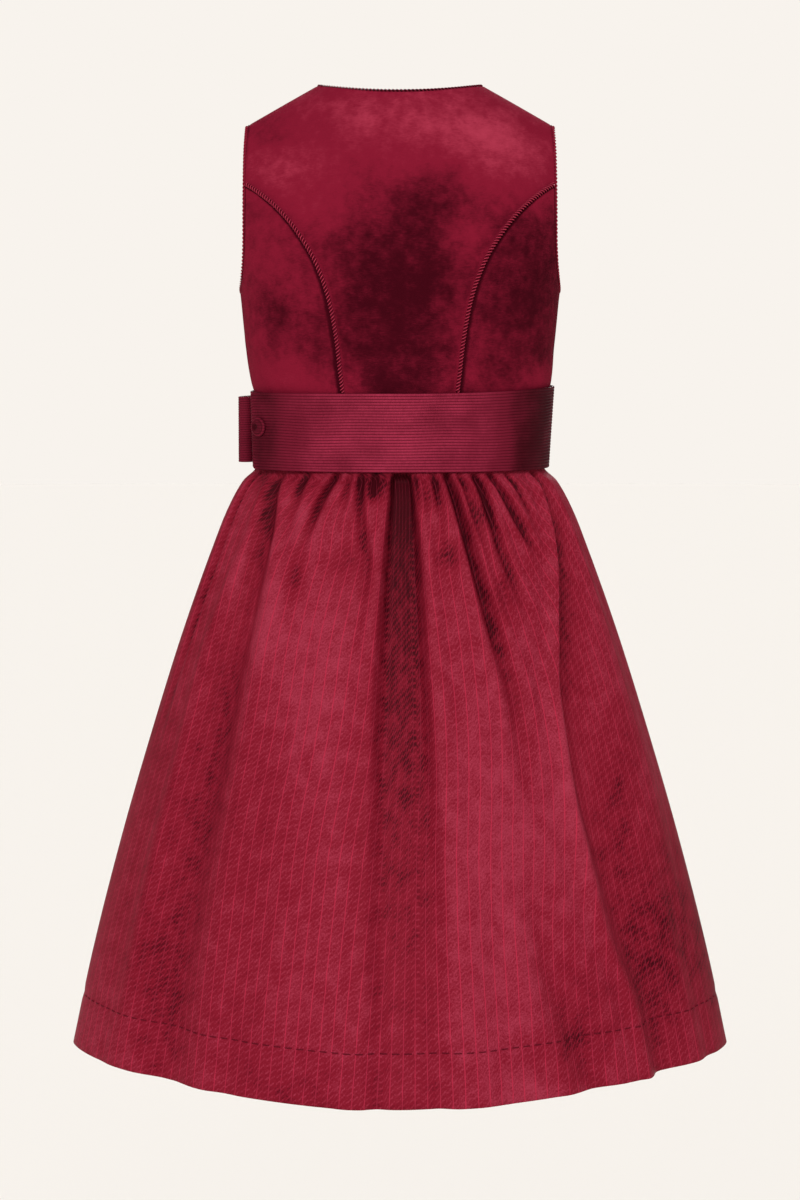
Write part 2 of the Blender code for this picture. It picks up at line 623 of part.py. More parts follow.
def skirt_points(face, height, along):
    """Outer points of half the skirt at one height, at distances along its oval from the centre line."""
    x, y, outward, fine = half_oval(face, section_at(SKIRT, height))
    inward = np.zeros_like(along)
    for place, left, right, flat, depth in zip(*folds_at(face, height)):
        away = along - place
        inward += depth * fold_shape(np.abs(away) / np.where(away < 0, left, right), flat)
    inward *= smooth_step((fine[-1] - np.abs(along)) / SIDE_SEAM_EASE)
    base, normal = along_line(along, fine, np.stack([x, y], axis=-1)), unit(along_line(along, fine, outward))
    middle = 1 - (base[:, 0] / x[-1]) ** 2
    hem_share = HEM_SIDE_SHARE + (HEM_CENTRE_SHARE - HEM_SIDE_SHARE) * middle
    drop = (height - SKIRT[0].at) * (1 + share_down(height) * (hem_share - 1))
    return np.column_stack([base - normal * inward[:, None], SKIRT[0].at + drop])


def fold_columns(face, height):
    """Distances along the half oval that follow the folds: four for each, and the two side seams."""
    end = half_oval(face, section_at(SKIRT, height))[3][-1]
    place, left, right, _, _ = folds_at(face, height)
    columns = np.stack([place - CREST_PLACE * left, place - FLOOR_SHARE * left, place + FLOOR_SHARE * right,
                        place + CREST_PLACE * right], axis=-1)
    limit = COLUMN_SHARE * end / (2 * len(place))
    overlap = columns[:-1, 3] - columns[1:, 0] + limit
    shared = np.maximum(overlap, 0) / 2
    columns[:-1, 3] -= shared
    columns[1:, 0] += shared
    columns = np.concatenate([[-end], columns.ravel(), [end]])
    for i in range(1, len(columns) - 1):
        columns[i] = max(columns[i], columns[i - 1] + limit)
    for i in range(len(columns) - 2, 0, -1):
        columns[i] = min(columns[i], columns[i + 1] - limit)
    return columns


def make_skirt(face, cloth):
    """Half the skirt, from the waist seam to the hem, gathered into folds."""
    outer = np.stack([skirt_points(face, height, fold_columns(face, height)) for height in SKIRT_ROWS])
    across, down = np.gradient(outer, axis=1), np.gradient(outer, axis=0)
    normal = unit(np.cross(down, across) * (1 if face == "back" else -1))
    normal[:, (0, -1), 1] = 0.0
    outer = inset(outer, SEAM_GAP / 2)
    wall_of(f"skirt_{face}", outer, outer - SKIRT_WALL * unit(normal), cloth, flip=face == "back")


def belt_point(turn, share, out):
    """A point beside the belt's path. Share runs from its bottom edge to its top, and out is the distance
    from the clothes under it. The belt sits a little higher and looser at the wearer's right."""
    right = np.clip(np.cos(np.radians(turn)), 0, 1) ** 2
    left = np.clip(-np.cos(np.radians(turn)), 0, 1) ** 2
    top = BELT_TOP + BELT_SIDE_RISE * right - left
    height = BELT_BOTTOM + (top - BELT_BOTTOM) * share
    out = out + right * (BELT_SIDE_SLACK + BELT_TOP_FLARE * share)
    low, high = section_at(TORSO, 0.0), section_at(TORSO, level_of_height(top))
    half_width, back, front, power = (a + (b - a) * share for a, b in zip(low, high))
    x, y = oval(turn, half_width + out, back + out, front + out, power)
    return np.stack(np.broadcast_arrays(x, y, height), axis=-1)


def belt_lift(turn):
    """How far the belt's outer end stands off the clothes, to pass over its own start and spring off past
    its stud."""
    start, full = BELT_LIFT_TURNS
    first, last = BELT_SPRING_TURNS
    lap = (BELT_WALL + RIB_RELIEF + BELT_LAP_GAP) * smooth_step((turn - start) / (full - start))
    return lap + BELT_SPRING * smooth_step((turn - first) / (last - first))


def ribs(count, relief, columns):
    """Shares across a ribbed strip, and how far its outer points are raised: on every second row, save at
    the strip's two ends."""
    rows = 2 * count + 1
    raised = np.zeros((rows, columns))
    raised[1::2, 1:-1] = relief
    return np.linspace(0, 1, rows)[:, None], raised


def make_belt(cloth):
    """One ribbed strip: from under its own end at the wearer's left round the front, the right and the back,
    and over its start."""
    turns = BELT_UNDER_TURN - 360 + BELT_STEP * np.arange(BELT_STEPS + 1)
    turns = np.insert(turns, BELT_STEPS, turns[-1] - BELT_CORNER_TURN)
    shares, ridge = ribs(RIB_COUNT, RIB_RELIEF, len(turns))
    base = BELT_CLEARANCE + belt_lift(turns)
    corner = np.where(np.arange(len(turns)) == BELT_STEPS + 1, BELT_CORNER / (BELT_TOP - BELT_BOTTOM), 0.0)
    shares = shares * (1 - 2 * corner) + corner
    outer = belt_point(turns, shares, base + BELT_WALL + ridge)
    inner = belt_point(turns, shares[[0, -1]], base)
    ribbed_strip("belt", outer, inner, cloth)


def ribbed_strip(name, outer, inner, material):
    """A closed wall whose ribbed outer side has many rows and whose plain inner side has two. Its rows run
    up and its columns clockwise seen from above."""
    rows, columns = outer.shape[:2]
    index = np.arange(rows * columns).reshape(rows, columns)
    low = np.arange(columns) + rows * columns
    high = low + columns
    faces = []

    def strip(a, b, c, d):
        faces.extend(np.stack([a, b, c, d], axis=-1).reshape(-1, 4).tolist())

    strip(index[:-1, :-1], index[1:, :-1], index[1:, 1:], index[:-1, 1:])
    strip(high[:-1], low[:-1], low[1:], high[1:])
    strip(index[0, :-1], index[0, 1:], low[1:], low[:-1])
    strip(index[-1, 1:], index[-1, :-1], high[:-1], high[1:])
    for column, order in ((0, 1), (-1, -1)):
        fan = [(index[i + 1, column], index[i, column], low[column]) for i in range(rows - 1)]
        fan.append((index[-1, column], low[column], high[column]))
        faces.extend([int(v) for v in face[::order]] for face in fan)
    points = np.concatenate([outer.reshape(-1, 3), inner.reshape(-1, 3)])
    return add_mesh(name, points, faces, material)


def make_stud(cloth):
    """A low cloth-covered disc with a dimple: its profile spun round, then set on the belt's last stretch."""
    form = bmesh.new()
    profile = [form.verts.new((STUD_RADIUS * MM * wide, 0.0, STUD_THICK * MM * high))
               for wide, high in STUD_PROFILE]
    edges = [form.edges.new(ends) for ends in zip(profile, profile[1:])]
    bmesh.ops.spin(form, geom=profile + edges, axis=(0, 0, 1), cent=(0, 0, 0), angle=2 * np.pi,
                   steps=STUD_SIDES, use_merge=True)
    bmesh.ops.remove_doubles(form, verts=form.verts, dist=MERGE_DISTANCE)
    bmesh.ops.recalc_face_normals(form, faces=form.faces)
    mesh = bpy.data.meshes.new("belt_stud")
    form.to_mesh(mesh)
    form.free()
    mesh.shade_smooth()
    stud = add_object("belt_stud", mesh, cloth)
    last_turn = BELT_UNDER_TURN - 360 + BELT_STEP * BELT_STEPS
    near, end = (belt_point(turn, 0.5, BELT_CLEARANCE + belt_lift(turn) + BELT_WALL + RIB_RELIEF + STUD_STAND_OFF)
                 for turn in (last_turn - BELT_STEP, last_turn))
    step = end - near
    x, y, _ = near + step * STUD_SHARE
    stud.location = (x * MM, y * MM, STUD_HEIGHT * MM)
    stud.rotation_euler = (np.pi / 2, 0.0, np.arctan2(-step[1], -step[0]))


def bow_point(along, out, height):
    """A point off the belt at a distance along it from the middle of the bow, towards the wearer's back."""
    turn = np.linspace(BOW_TURN + BOW_ARC, BOW_TURN - BOW_ARC, 2 * BOW_ARC_STEPS + 1)
    base = belt_point(turn, 1.0, BELT_CLEARANCE + BELT_WALL + RIB_RELIEF)[:, :2]
    step = np.gradient(base, axis=0)
    outward = unit(np.stack([step[:, 1], -step[:, 0]], axis=-1))
    distance = np.concatenate([[0], np.cumsum(np.linalg.norm(np.diff(base, axis=0), axis=-1))])
    distance -= distance[BOW_ARC_STEPS]
    flat = along_line(along, distance, base) + np.expand_dims(out, -1) * along_line(along, distance, outward)
    return np.stack(np.broadcast_arrays(flat[..., 0], flat[..., 1], BOW_MIDDLE + height), axis=-1)


def loop_path(wall):
    """The path of a bow loop: along the belt, round the end and back. Distance from the knot, distance from
    the belt and half height, for one side of the ribbon that lies wall away from its middle."""
    leaf, end = np.array(LEAF_SHARES), np.radians(LOOP_END_ANGLES)
    share = np.concatenate([leaf, leaf[-1] + (1 - leaf[-1]) * np.cos(end), leaf[::-1]])
    side = np.concatenate([-np.ones(len(leaf)), np.sin(end), np.ones(len(leaf))])
    forward = np.concatenate([np.zeros(len(leaf)), np.cos(end), np.zeros(len(leaf))])
    thick = BOW_PINCH_GAP + (BOW_LOOP_THICK - BOW_PINCH_GAP) * smooth_step(share / LOOP_THICK_SHARE)
    out = BOW_STAND_OFF + BOW_LEAN * share ** 2 + thick / 2 * (1 + side) + wall * side
    high = BOW_PINCH_HEIGHT + (BOW_HEIGHT - BOW_PINCH_HEIGHT) * smooth_step(share / LOOP_HIGH_SHARE)
    return BOW_LOOP_START + BOW_LOOP_LENGTH * share + wall * forward, out, high / 2


def make_bow_loop(name, side, cloth):
    """A hollow ribbed loop of ribbon. Side is 1 for the loop towards the wearer's back, -1 for the other."""
    shares, ridge = ribs(BOW_RIBS, BOW_RIB_RELIEF, 2 * len(LEAF_SHARES) + len(LOOP_END_ANGLES))
    along, out, half = loop_path(RIBBON_WALL / 2 + ridge)
    outer = bow_point(side * along, out, (2 * shares - 1) * half)
    along, out, half = loop_path(-RIBBON_WALL / 2 + np.zeros((2, 1)))
    inner = bow_point(side * along, out, np.array([[-1.0], [1.0]]) * half)
    if side < 0:
        outer, inner = outer[:, ::-1], inner[:, ::-1]
    ribbed_strip(name, outer, inner, cloth)


def make_bow_knot(cloth):
    """The ribbon wrapped over the bow's middle: up off the belt, down the front and back in."""
    angle = np.radians(KNOT_ANGLES)
    shares, ridge = ribs(KNOT_RIBS, BOW_RIB_RELIEF, len(angle))

    def side_of(wall, spread):
        high = (KNOT_HEIGHT / 2 + wall) * signed_power(np.cos(angle), KNOT_BOXINESS)
        out = KNOT_STAND_OFF + (KNOT_DEPTH + wall) * signed_power(np.sin(angle), KNOT_BOXINESS)
        return bow_point(spread, out, high)

    outer = side_of(RIBBON_WALL / 2 + ridge, (shares - 0.5) * KNOT_WIDTH)
    inner = side_of(-RIBBON_WALL / 2 + np.zeros((2, 1)), np.array([[-KNOT_WIDTH / 2], [KNOT_WIDTH / 2]]))
    ribbed_strip("bow_knot", outer[:, ::-1], inner[:, ::-1], cloth)


def main():
    """Clears the scene and makes every piece."""
    for thing in list(bpy.data.objects):
        bpy.data.objects.remove(thing)
    velvet = make_material("velvet", VELVET_COLOUR, 0.85)
    jacquard = make_material("jacquard", SKIRT_COLOUR, 0.6)
    ribbed = make_material("ribbed_ribbon", BELT_COLOUR, 0.45)
    cord = make_material("twisted_cord", CORD_COLOUR, 0.5)
    make_back_centre(velvet)
    make_back_sides(velvet)
    make_fronts(velvet)
    make_seam_cords(cord)
    make_neck_cord(cord)
    make_armhole_cords(cord)
    make_skirt("back", jacquard)
    make_skirt("front", jacquard)
    make_belt(ribbed)
    make_stud(ribbed)
    make_bow_loop("bow_loop_rear", 1, ribbed)
    make_bow_loop("bow_loop_front", -1, ribbed)
    make_bow_knot(ribbed)


main()
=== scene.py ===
"""Looks of a child's sleeveless dirndl, filled out as if worn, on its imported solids: a crushed velvet bodice
edged with twisted cord, a ribbed belt with a flat bow, and a gathered skirt of striped jacquard.

Tables are in millimetres, in the solids' frame: +Z up, +Y out of the wearer's front, +X to the wearer's right,
with the origin midway between the shoulder seams. Each surface is a function of two parameters on a grid.
"""

from collections import namedtuple
from functools import partialmethod

import bpy
import numpy as np
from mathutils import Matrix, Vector


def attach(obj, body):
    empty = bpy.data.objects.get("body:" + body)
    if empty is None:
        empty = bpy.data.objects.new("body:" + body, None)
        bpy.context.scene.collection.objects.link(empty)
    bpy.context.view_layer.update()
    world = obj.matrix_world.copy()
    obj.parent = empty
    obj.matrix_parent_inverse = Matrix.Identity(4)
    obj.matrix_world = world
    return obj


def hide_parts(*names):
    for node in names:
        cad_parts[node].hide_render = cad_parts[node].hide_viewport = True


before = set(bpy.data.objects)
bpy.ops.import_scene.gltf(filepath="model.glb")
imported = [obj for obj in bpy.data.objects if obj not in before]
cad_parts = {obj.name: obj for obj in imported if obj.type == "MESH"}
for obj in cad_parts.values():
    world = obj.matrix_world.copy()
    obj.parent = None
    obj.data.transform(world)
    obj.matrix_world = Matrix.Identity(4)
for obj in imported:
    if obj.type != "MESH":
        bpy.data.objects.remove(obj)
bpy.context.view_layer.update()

MM = 0.001

SEAM_LAP = 0.5
VELVET_THICK = 2.0
JACQUARD_THICK = 0.5
BELT_WALL = 1.6
RIBBON_WALL = 1.2

WAIST_SEAM_HEIGHT = -253.0
SHOULDER_CURVE_HEIGHT = -120.0
UNDERARM_HEIGHT = -147.0
NECK_POINT_WIDTH = 64.5
NECK_POINT_HEIGHT = 12.2
SHOULDER_SLOPE = 0.579
SHOULDER_ROUNDING = 20.0
SHOULDER_POWER = 1.6
BACK_NECK_HEIGHT = 6.0
BACK_NECK_RISE = 6.2
FRONT_NECK_BOTTOM = -82.0
SEAM_TIP = 0.008
NUDGE_TURN = 0.4
NUDGE_LEVEL = 0.02
SAME_LEVEL = 1e-6
NO_LENGTH = 1e-9

# Level sections: half width, depths behind and in front, and the power of the oval.
Section = namedtuple("Section", "at half_width back front power")
TORSO = [Section(*row) for row in (
    (0, 111.6, 77.4, 81.4, 2.25), (0.13, 111.9, 77.8, 82, 2.25), (0.22, 112.8, 78.6, 83, 2.25),
    (0.29, 115.2, 80.2, 84.8, 2.25), (0.41, 118, 82.5, 87, 2.25), (0.59, 120.6, 85, 89.5, 2.28),
    (0.8, 123.3, 87.5, 92, 2.3), (1, 127, 89.5, 93, 2.3), (1.5, 132.5, 91, 92.5, 2.3), (2, 134, 92, 92, 2.3),
)]
# Cut edges: pairs of a height and the distance from the centre line.
BACK_SEAM = (
    (-253, 42), (-221, 43), (-205, 44.7), (-182, 47.2), (-151, 52.8), (-124, 62), (-101, 75.5), (-83, 90.5),
    (-70, 106), (-62, 118.6), (-56, 129),
)
BACK_ARMHOLE = (
    (-147, 123.6), (-132, 121), (-120, 119.6), (-105, 118.8), (-62, 118.4), (-40, 118.1), (-18, 117.1),
)
FRONT_ARMHOLE = (
    (-147, 123.6), (-134, 119.8), (-120, 116), (-92, 111.8), (-62, 110.8), (-40, 112.8), (-18, 117.1),
)
FRONT_NECK = (
    (-82, 0.15), (-78, 14), (-64, 32), (-40, 49), (-12, 60), (12.2, 64.5),
)

SKIRT = [Section(*row) for row in (
    (-253.6, 110.6, 76.6, 80.6, 2.25), (-277, 110.8, 76.8, 80.8, 2.22), (-281, 111.8, 77.6, 81.6, 2.18),
    (-291, 121.8, 86.5, 90.5, 2.1), (-314, 134.4, 97.5, 100, 2.05), (-338, 144, 106, 108, 2),
    (-408, 169, 126, 127, 1.9), (-479, 191.3, 143, 143, 1.8), (-574, 218.7, 164, 163, 1.68),
    (-669.5, 242.7, 184, 182, 1.6), (-741, 257.8, 198, 195, 1.55),
)]
HEM_SIDE_SHARE = 0.986
HEM_CENTRE_SHARE = 1.003

# Folds of the skirt: the flat share of the floor, and stations from the waist down, each a height, the place as
# a share of the half width, reaches to the left and right, and a depth. Depth is below 0 for a ridge, and 0 where
# the fold has died away.
Fold = namedtuple("Fold", "flat stations")
BACK_FOLDS = [Fold(*row) for row in (
    (0, ((-283, -0.95, 6, 5, 5), (-350, -0.955, 9, 8, 6), (-450, -0.96, 10, 8, 2), (-500, -0.96, 10, 8, 0))),
    (0.1, ((-283, -0.8, 7, 7, 5), (-330, -0.745, 13, 13, 9), (-420, -0.745, 24, 24, 11), (-520, -0.73, 28, 28, 10),
        (-640, -0.722, 32, 32, 8), (-742, -0.7, 34, 34, 6))),
    (0, ((-283, -0.62, 5, 5, 5), (-320, -0.62, 8, 8, 2), (-350, -0.62, 8, 8, 0))),
    (0, ((-283, -0.43, 5, 6, 9), (-310, -0.484, 6, 6, 6), (-345, -0.535, 8, 8, 0))),
    (0, ((-283, -0.33, 4, 4, 4), (-310, -0.335, 5, 5, 1.5), (-330, -0.34, 5, 5, 0))),
    (0, ((-283, -0.26, 5, 5, 6), (-320, -0.21, 6, 6, 4), (-350, -0.172, 8, 8, 3), (-412, -0.18, 10, 10, 0))),
    (0, ((-283, -0.165, 4, 4, 6), (-305, -0.165, 5, 5, 0))),
    (0.58, ((-283, 0.012, 9, 9, 15), (-350, 0.014, 17, 17, 15), (-450, 0.01, 24, 24, 13), (-540, 0.012, 28, 32, 10),
        (-640, 0.014, 31, 38, 8.5), (-742, 0.016, 35, 42, 6.5))),
    (0, ((-283, 0.1, 3.5, 3.5, 4), (-310, 0.105, 4, 4, 0))),
    (0, ((-283, 0.22, 4, 4, 5), (-315, 0.24, 5, 5, 2), (-340, 0.25, 6, 6, 0))),
    (0, ((-283, 0.315, 5, 5, 12), (-347, 0.381, 6, 7, 10), (-400, 0.43, 8, 10, 8), (-455, 0.475, 10, 13, 5),
        (-500, 0.478, 12, 15, 2.5), (-545, 0.48, 14, 16, 0))),
    (0, ((-283, 0.4, 4, 4, 5), (-310, 0.42, 5, 5, 2), (-335, 0.44, 5, 5, 0))),
    (0, ((-283, 0.5, 5, 5, 8), (-345, 0.54, 7, 7, 5), (-375, 0.583, 8, 8, 2), (-400, 0.6, 9, 9, 0))),
    (0, ((-283, 0.61, 5, 5, 8), (-315, 0.66, 6, 6, 6), (-350, 0.735, 7, 7, 0))),
    (0, ((-283, 0.72, 4, 4, 5), (-310, 0.745, 5, 5, 2), (-330, 0.76, 5, 5, 0))),
    (0, ((-285, 0.906, 6, 8, 9), (-341, 0.846, 8, 20, 14), (-400, 0.753, 10, 38, 16), (-448, 0.712, 13, 48, 16),
        (-520, 0.704, 16, 56, 14), (-575, 0.722, 18, 52, 12), (-630, 0.741, 20, 46, 9), (-685, 0.781, 20, 40, 7),
        (-741, 0.79, 18, 38, 7))),
    (0, ((-285, 0.855, 4, 4, -2), (-341, 0.79, 7, 6, -3), (-400, 0.7, 10, 7, -3.5), (-448, 0.641, 12, 8, -3.5),
        (-520, 0.625, 13, 9, -3), (-575, 0.64, 14, 10, -3), (-630, 0.663, 14, 11, -2.5),
        (-685, 0.716, 14, 12, -2.5), (-741, 0.728, 14, 12, -2))),
    (0, ((-560, 0.44, 16, 16, 0), (-619, 0.463, 20, 26, 4), (-670, 0.502, 22, 32, 6), (-720, 0.555, 22, 30, 6),
        (-742, 0.575, 22, 28, 5))),
)]
FRONT_FOLDS = [Fold(*row) for row in (
    (0, ((-283, -0.93, 6, 6, 6), (-350, -0.93, 9, 9, 7), (-450, -0.935, 12, 12, 3), (-540, -0.94, 12, 12, 0))),
    (0.1, ((-283, -0.78, 7, 7, 8), (-330, -0.75, 12, 12, 12), (-420, -0.745, 22, 22, 12), (-560, -0.74, 30, 30, 10),
        (-742, -0.735, 34, 34, 7))),
    (0, ((-283, -0.6, 5, 5, 7), (-320, -0.61, 7, 7, 3), (-360, -0.62, 8, 8, 0))),
    (0.3, ((-283, -0.41, 6, 6, 11), (-350, -0.415, 12, 12, 12), (-450, -0.42, 18, 18, 10),
        (-600, -0.425, 26, 26, 7), (-742, -0.43, 30, 30, 4))),
    (0, ((-283, -0.3, 4, 4, 5), (-310, -0.3, 5, 5, 2), (-335, -0.3, 6, 6, 0))),
    (0, ((-283, -0.2, 5, 5, 8), (-340, -0.21, 7, 7, 5), (-400, -0.215, 9, 9, 0))),
    (0, ((-283, -0.1, 4, 4, 5), (-312, -0.1, 5, 5, 0))),
    (0, ((-283, -0.005, 6, 6, 10), (-350, 0, 9, 9, 8), (-430, 0.005, 13, 13, 5), (-520, 0.005, 18, 18, 2),
        (-600, 0, 20, 20, 0))),
    (0, ((-283, 0.1, 4, 4, 5), (-315, 0.105, 5, 5, 1.5), (-340, 0.11, 6, 6, 0))),
    (0, ((-283, 0.2, 5, 5, 8), (-330, 0.21, 7, 7, 5), (-380, 0.22, 9, 9, 0))),
    (0.3, ((-283, 0.385, 6, 6, 12), (-350, 0.4, 12, 12, 13), (-450, 0.415, 18, 18, 12), (-600, 0.43, 26, 26, 9),
        (-742, 0.435, 32, 32, 6))),
    (0, ((-283, 0.5, 4, 4, 5), (-315, 0.51, 5, 5, 2), (-345, 0.52, 6, 6, 0))),
    (0, ((-283, 0.6, 5, 5, 8), (-340, 0.61, 7, 7, 4), (-390, 0.62, 9, 9, 0))),
    (0.1, ((-283, 0.76, 7, 7, 10), (-350, 0.765, 14, 14, 12), (-450, 0.77, 22, 22, 12), (-600, 0.775, 28, 28, 10),
        (-742, 0.78, 32, 32, 7))),
    (0, ((-283, 0.93, 6, 6, 7), (-350, 0.93, 9, 9, 7), (-480, 0.935, 12, 12, 3), (-580, 0.94, 14, 14, 0))),
)]
CREST_SHARE = 0.20
CREST_PLACE = 1.25
CREST_REACH = 0.5
FOLD_START_HEIGHT = -278.5
FOLD_FULL_HEIGHT = -289.0
FOLD_UNDER_BELT = 0.1
SIDE_SEAM_EASE = 8.0
OVAL_STEPS = 1440

# Long soft creases lower down: share of the half width and height at each end, half width and depth, which is
# below 0 for a ridge.
Crease = namedtuple("Crease", "from_share from_height to_share to_height reach depth")
BACK_CREASES = [Crease(*row) for row in (
    (-0.13, -430, -0.18, -640, 20, 1.4), (-0.3, -352, -0.38, -520, 14, -1.6), (-0.44, -560, -0.52, -750, 16, 1.4),
    (0.22, -560, 0.26, -750, 22, -1.8), (-0.86, -480, -0.86, -750, 12, -1.8), (0.9, -560, 0.93, -750, 9, 2),
    (-0.08, -660, -0.1, -752, 18, 1.4), (0.3, -420, 0.33, -600, 16, -1.2),
)]
FRONT_CREASES = [Crease(*row) for row in (
    (-0.56, -590, -0.63, -748, 14, 3), (-0.28, -380, -0.3, -540, 16, -1.6), (0.1, -450, 0.12, -690, 18, 1.6),
    (0.26, -600, 0.3, -750, 16, -2), (0.56, -420, 0.6, -560, 12, 1.8), (-0.1, -620, -0.12, -750, 20, 1.6),
    (-0.86, -520, -0.89, -750, 10, -1.6),
)]
CREASE_FADE = 0.35
PACKED_EVENLY = 1.2
PACKED_REACH = 0.7
SKIRT_COLUMNS = 440
HEM_DEPTH = 42.0
HEM_LAYER_GAP = 1.0
HEM_ROLL = 0.5
HEM_DROP = 0.35
HEM_ROWS = 8
HEM_STITCH_RISE = 40.5
PUCKER_DEPTH = 0.7
PUCKER_REACH = 4.0

BELT_TOP = -220.6
BELT_BOTTOM = -280.2
BELT_SIDE_RISE = 3.0
BELT_CLEARANCE = 1.0
BELT_SIDE_SLACK = 1.4
BELT_TOP_FLARE = 1.2
RIB_COUNT = 27
RIB_RELIEF = 0.5
RIB_PITCH = 2.207
BELT_LAP_GAP = 0.4
BELT_UNDER_TURN = 146.0
BELT_SWEEP = 372.0
BELT_COLUMNS = 280
BELT_LIFT_TURNS = (116.0, 141.0)
BELT_SPRING = 5.5
BELT_SPRING_TURNS = (144.0, 164.0)
BELT_CORNER = 3.8
BELT_RADIUS = 100.0
BELT_GROOVE = 0.3
BELT_END_FLAT = 1.2
# Waver of the belt's middle: height, waves round the body, and where they start in degrees.
BELT_WAVER = ((0.35, 5, 40), (0.25, 11, 0))
# The belt's solid lies this far out, and so do the bow and the stud on it.
SOLID_RELIEF = 0.4

# How far along the belt's last stretch, between two turns, the stud sits.
STUD_STRETCH = (146.0, 158.0)
STUD_SHARE = 0.54
STUD_HEIGHT = -247.5
STUD_RADIUS = 7.4
STUD_THICK = 1.5
STUD_STAND_OFF = 0.7
STUD_FACE = 0.72
STUD_SIDE_SHARE = 0.25
STUD_RIB_RELIEF = 0.14
STUD_COLUMNS = 72
DIMPLE_ASIDE = 2.6
DIMPLE_REACH = 3.6
DIMPLE_DEPTH = 0.5
RING_DEPTH = 0.14
RING_REACH = 0.1
# Rings of the stud's points, from its foot and rim to its middle, as shares of its radius.
STUD_RINGS = np.concatenate([[1.0], np.linspace(1.0, 0.92, 8), np.linspace(0.9, 0.02, 26)])[:, None]

CORD_RADIUS = 1.7
SEAM_CORD_OUT = 1.46
EDGE_CORD_RADIUS = 1.3
NECK_CORD_START = 0.9

BOW_TURN = 224.0
BOW_LOOP_START = 4.0
BOW_LOOP_LENGTH = 54.0
BOW_HEIGHT = 51.0
BOW_PINCH_HEIGHT = 27.0
BOW_MIDDLE = -252.2
BOW_STAND_OFF = 1.9
BOW_LEAN = -0.9
BOW_PINCH_GAP = 2.6
BOW_LOOP_THICK = 10.0
BOW_RIBS = 28
BOW_RIB_RELIEF = 0.35
BOW_GROOVE = 0.1
BOW_ARC = 60.0
BOW_ARC_STEPS = 240
LEAF_END = 0.9
LEAF_COLUMNS = 22
LOOP_END_COLUMNS = 15
LOOP_END_ANGLE = 84.0
LOOP_THICK_SHARE = 0.7
LOOP_HIGH_SHARE = 0.55
KNOT_WIDTH = 19.0
KNOT_HEIGHT = 38.0
KNOT_DEPTH = 8.2
KNOT_STAND_OFF = -0.05
KNOT_RIBS = 10
KNOT_BOXINESS = 0.6


def smooth_curve(points, at):
    """A smooth curve through points of two numbers: cubic pieces that never overshoot."""
    x, y = np.array(sorted(points), dtype=float).T
    step, rise = np.diff(x), np.diff(y)
    slope = rise / step
    tangent = np.empty_like(y)
    tangent[0], tangent[-1] = slope[0], slope[-1]
    same_way = slope[:-1] * slope[1:] > 0
    mean = 2 * slope[:-1] * slope[1:] / np.where(same_way, slope[:-1] + slope[1:], 1.0)
    tangent[1:-1] = np.where(same_way, mean, 0.0)
    at = np.clip(at, x[0], x[-1])
    i = np.clip(np.searchsorted(x, at, side="right") - 1, 0, len(x) - 2)
    t = (at - x[i]) / step[i]
    return (y[i] + step[i] * t * (1 - t) ** 2 * tangent[i] + rise[i] * t * t * (3 - 2 * t)
            - step[i] * t * t * (1 - t) * tangent[i + 1])


def section_at(table, at):
    """Half width, back depth, front depth and power of a table's section at a level or height."""
    return [smooth_curve([(row.at, getattr(row, name)) for row in table], at) for name in Section._fields[1:]]


def between(first, last, share):
    """The value a share of the way from the first to the last."""
    return first + (last - first) * share


def unit(vectors):
    """Vectors made one long."""
    return vectors / np.maximum(np.linalg.norm(vectors, axis=-1, keepdims=True), NO_LENGTH)


def signed_power(values, power):
    """A power of the values' sizes, with their signs kept."""
    return np.sign(values) * np.abs(values) ** power


def smooth_step(values):
    """From 0 at 0 to 1 at 1, level at both ends."""
    t = np.clip(values, 0, 1)
    return t * t * (3 - 2 * t)


def bell(values):
    """1 at 0, easing to 0 at -1 and 1, level at all three."""
    return smooth_step(1 - np.abs(values))


def along_line(at, distance, values):
    """Values given along a line, read at other distances along it."""
    return np.stack([np.interp(at, distance, column) for column in values.T], axis=-1)


def lengths_along(points):
    """The distance of each point along a line of them, from its first."""
    steps = np.linalg.norm(np.diff(points, axis=0), axis=-1)
    return np.concatenate([np.zeros((1,) + steps.shape[1:]), np.cumsum(steps, axis=0)])


def lengths_across(points):
    """The distance of each point of a grid along its row, from the row's first."""
    return lengths_along(np.moveaxis(points, 1, 0)).T


def stacked(*parts):
    """Numbers put side by side as the last axis, each stretched to the others' shape."""
    return np.stack(np.broadcast_arrays(*parts), axis=-1)


def square_to(along, vectors):
    """Vectors without the share of them that lies along a direction."""
    return vectors - along * (vectors * along).sum(-1, keepdims=True)


def circled(angle, first, second):
    """Directions at an angle from a first one towards a second."""
    return np.cos(angle)[..., None] * first + np.sin(angle)[..., None] * second


def oval(turn, half_width, back, front, power):
    """Points of a section's oval, by turn in degrees."""
    angle = np.radians(turn)
    side = signed_power(np.sin(angle), 2 / power)
    return half_width * signed_power(np.cos(angle), 2 / power), -np.where(side > 0, back, front) * side


def shoulder_height(across):
    """The height of the shoulder line at a distance from the centre, rounded where its two slopes meet."""
    run = np.hypot(across, SHOULDER_ROUNDING) - np.hypot(NECK_POINT_WIDTH, SHOULDER_ROUNDING)
    return NECK_POINT_HEIGHT - SHOULDER_SLOPE * run


def torso_point(turn, level):
    """A point of the bodice's outer surface: the section's oval at a level, bent in over the shoulders above
    level 1. Turn is 0 at the wearer's right side, 90 at the centre back and 270 at the centre front."""
    x, y = oval(turn, *section_at(TORSO, level))
    lean = np.clip(level - 1, 0, 1) * np.pi / 2
    low = between(WAIST_SEAM_HEIGHT, SHOULDER_CURVE_HEIGHT, np.minimum(level, 1))
    z = low + (shoulder_height(x) - SHOULDER_CURVE_HEIGHT) * np.sin(lean) ** (2 / SHOULDER_POWER)
    return stacked(x, y * np.cos(lean) ** (2 / SHOULDER_POWER), z)


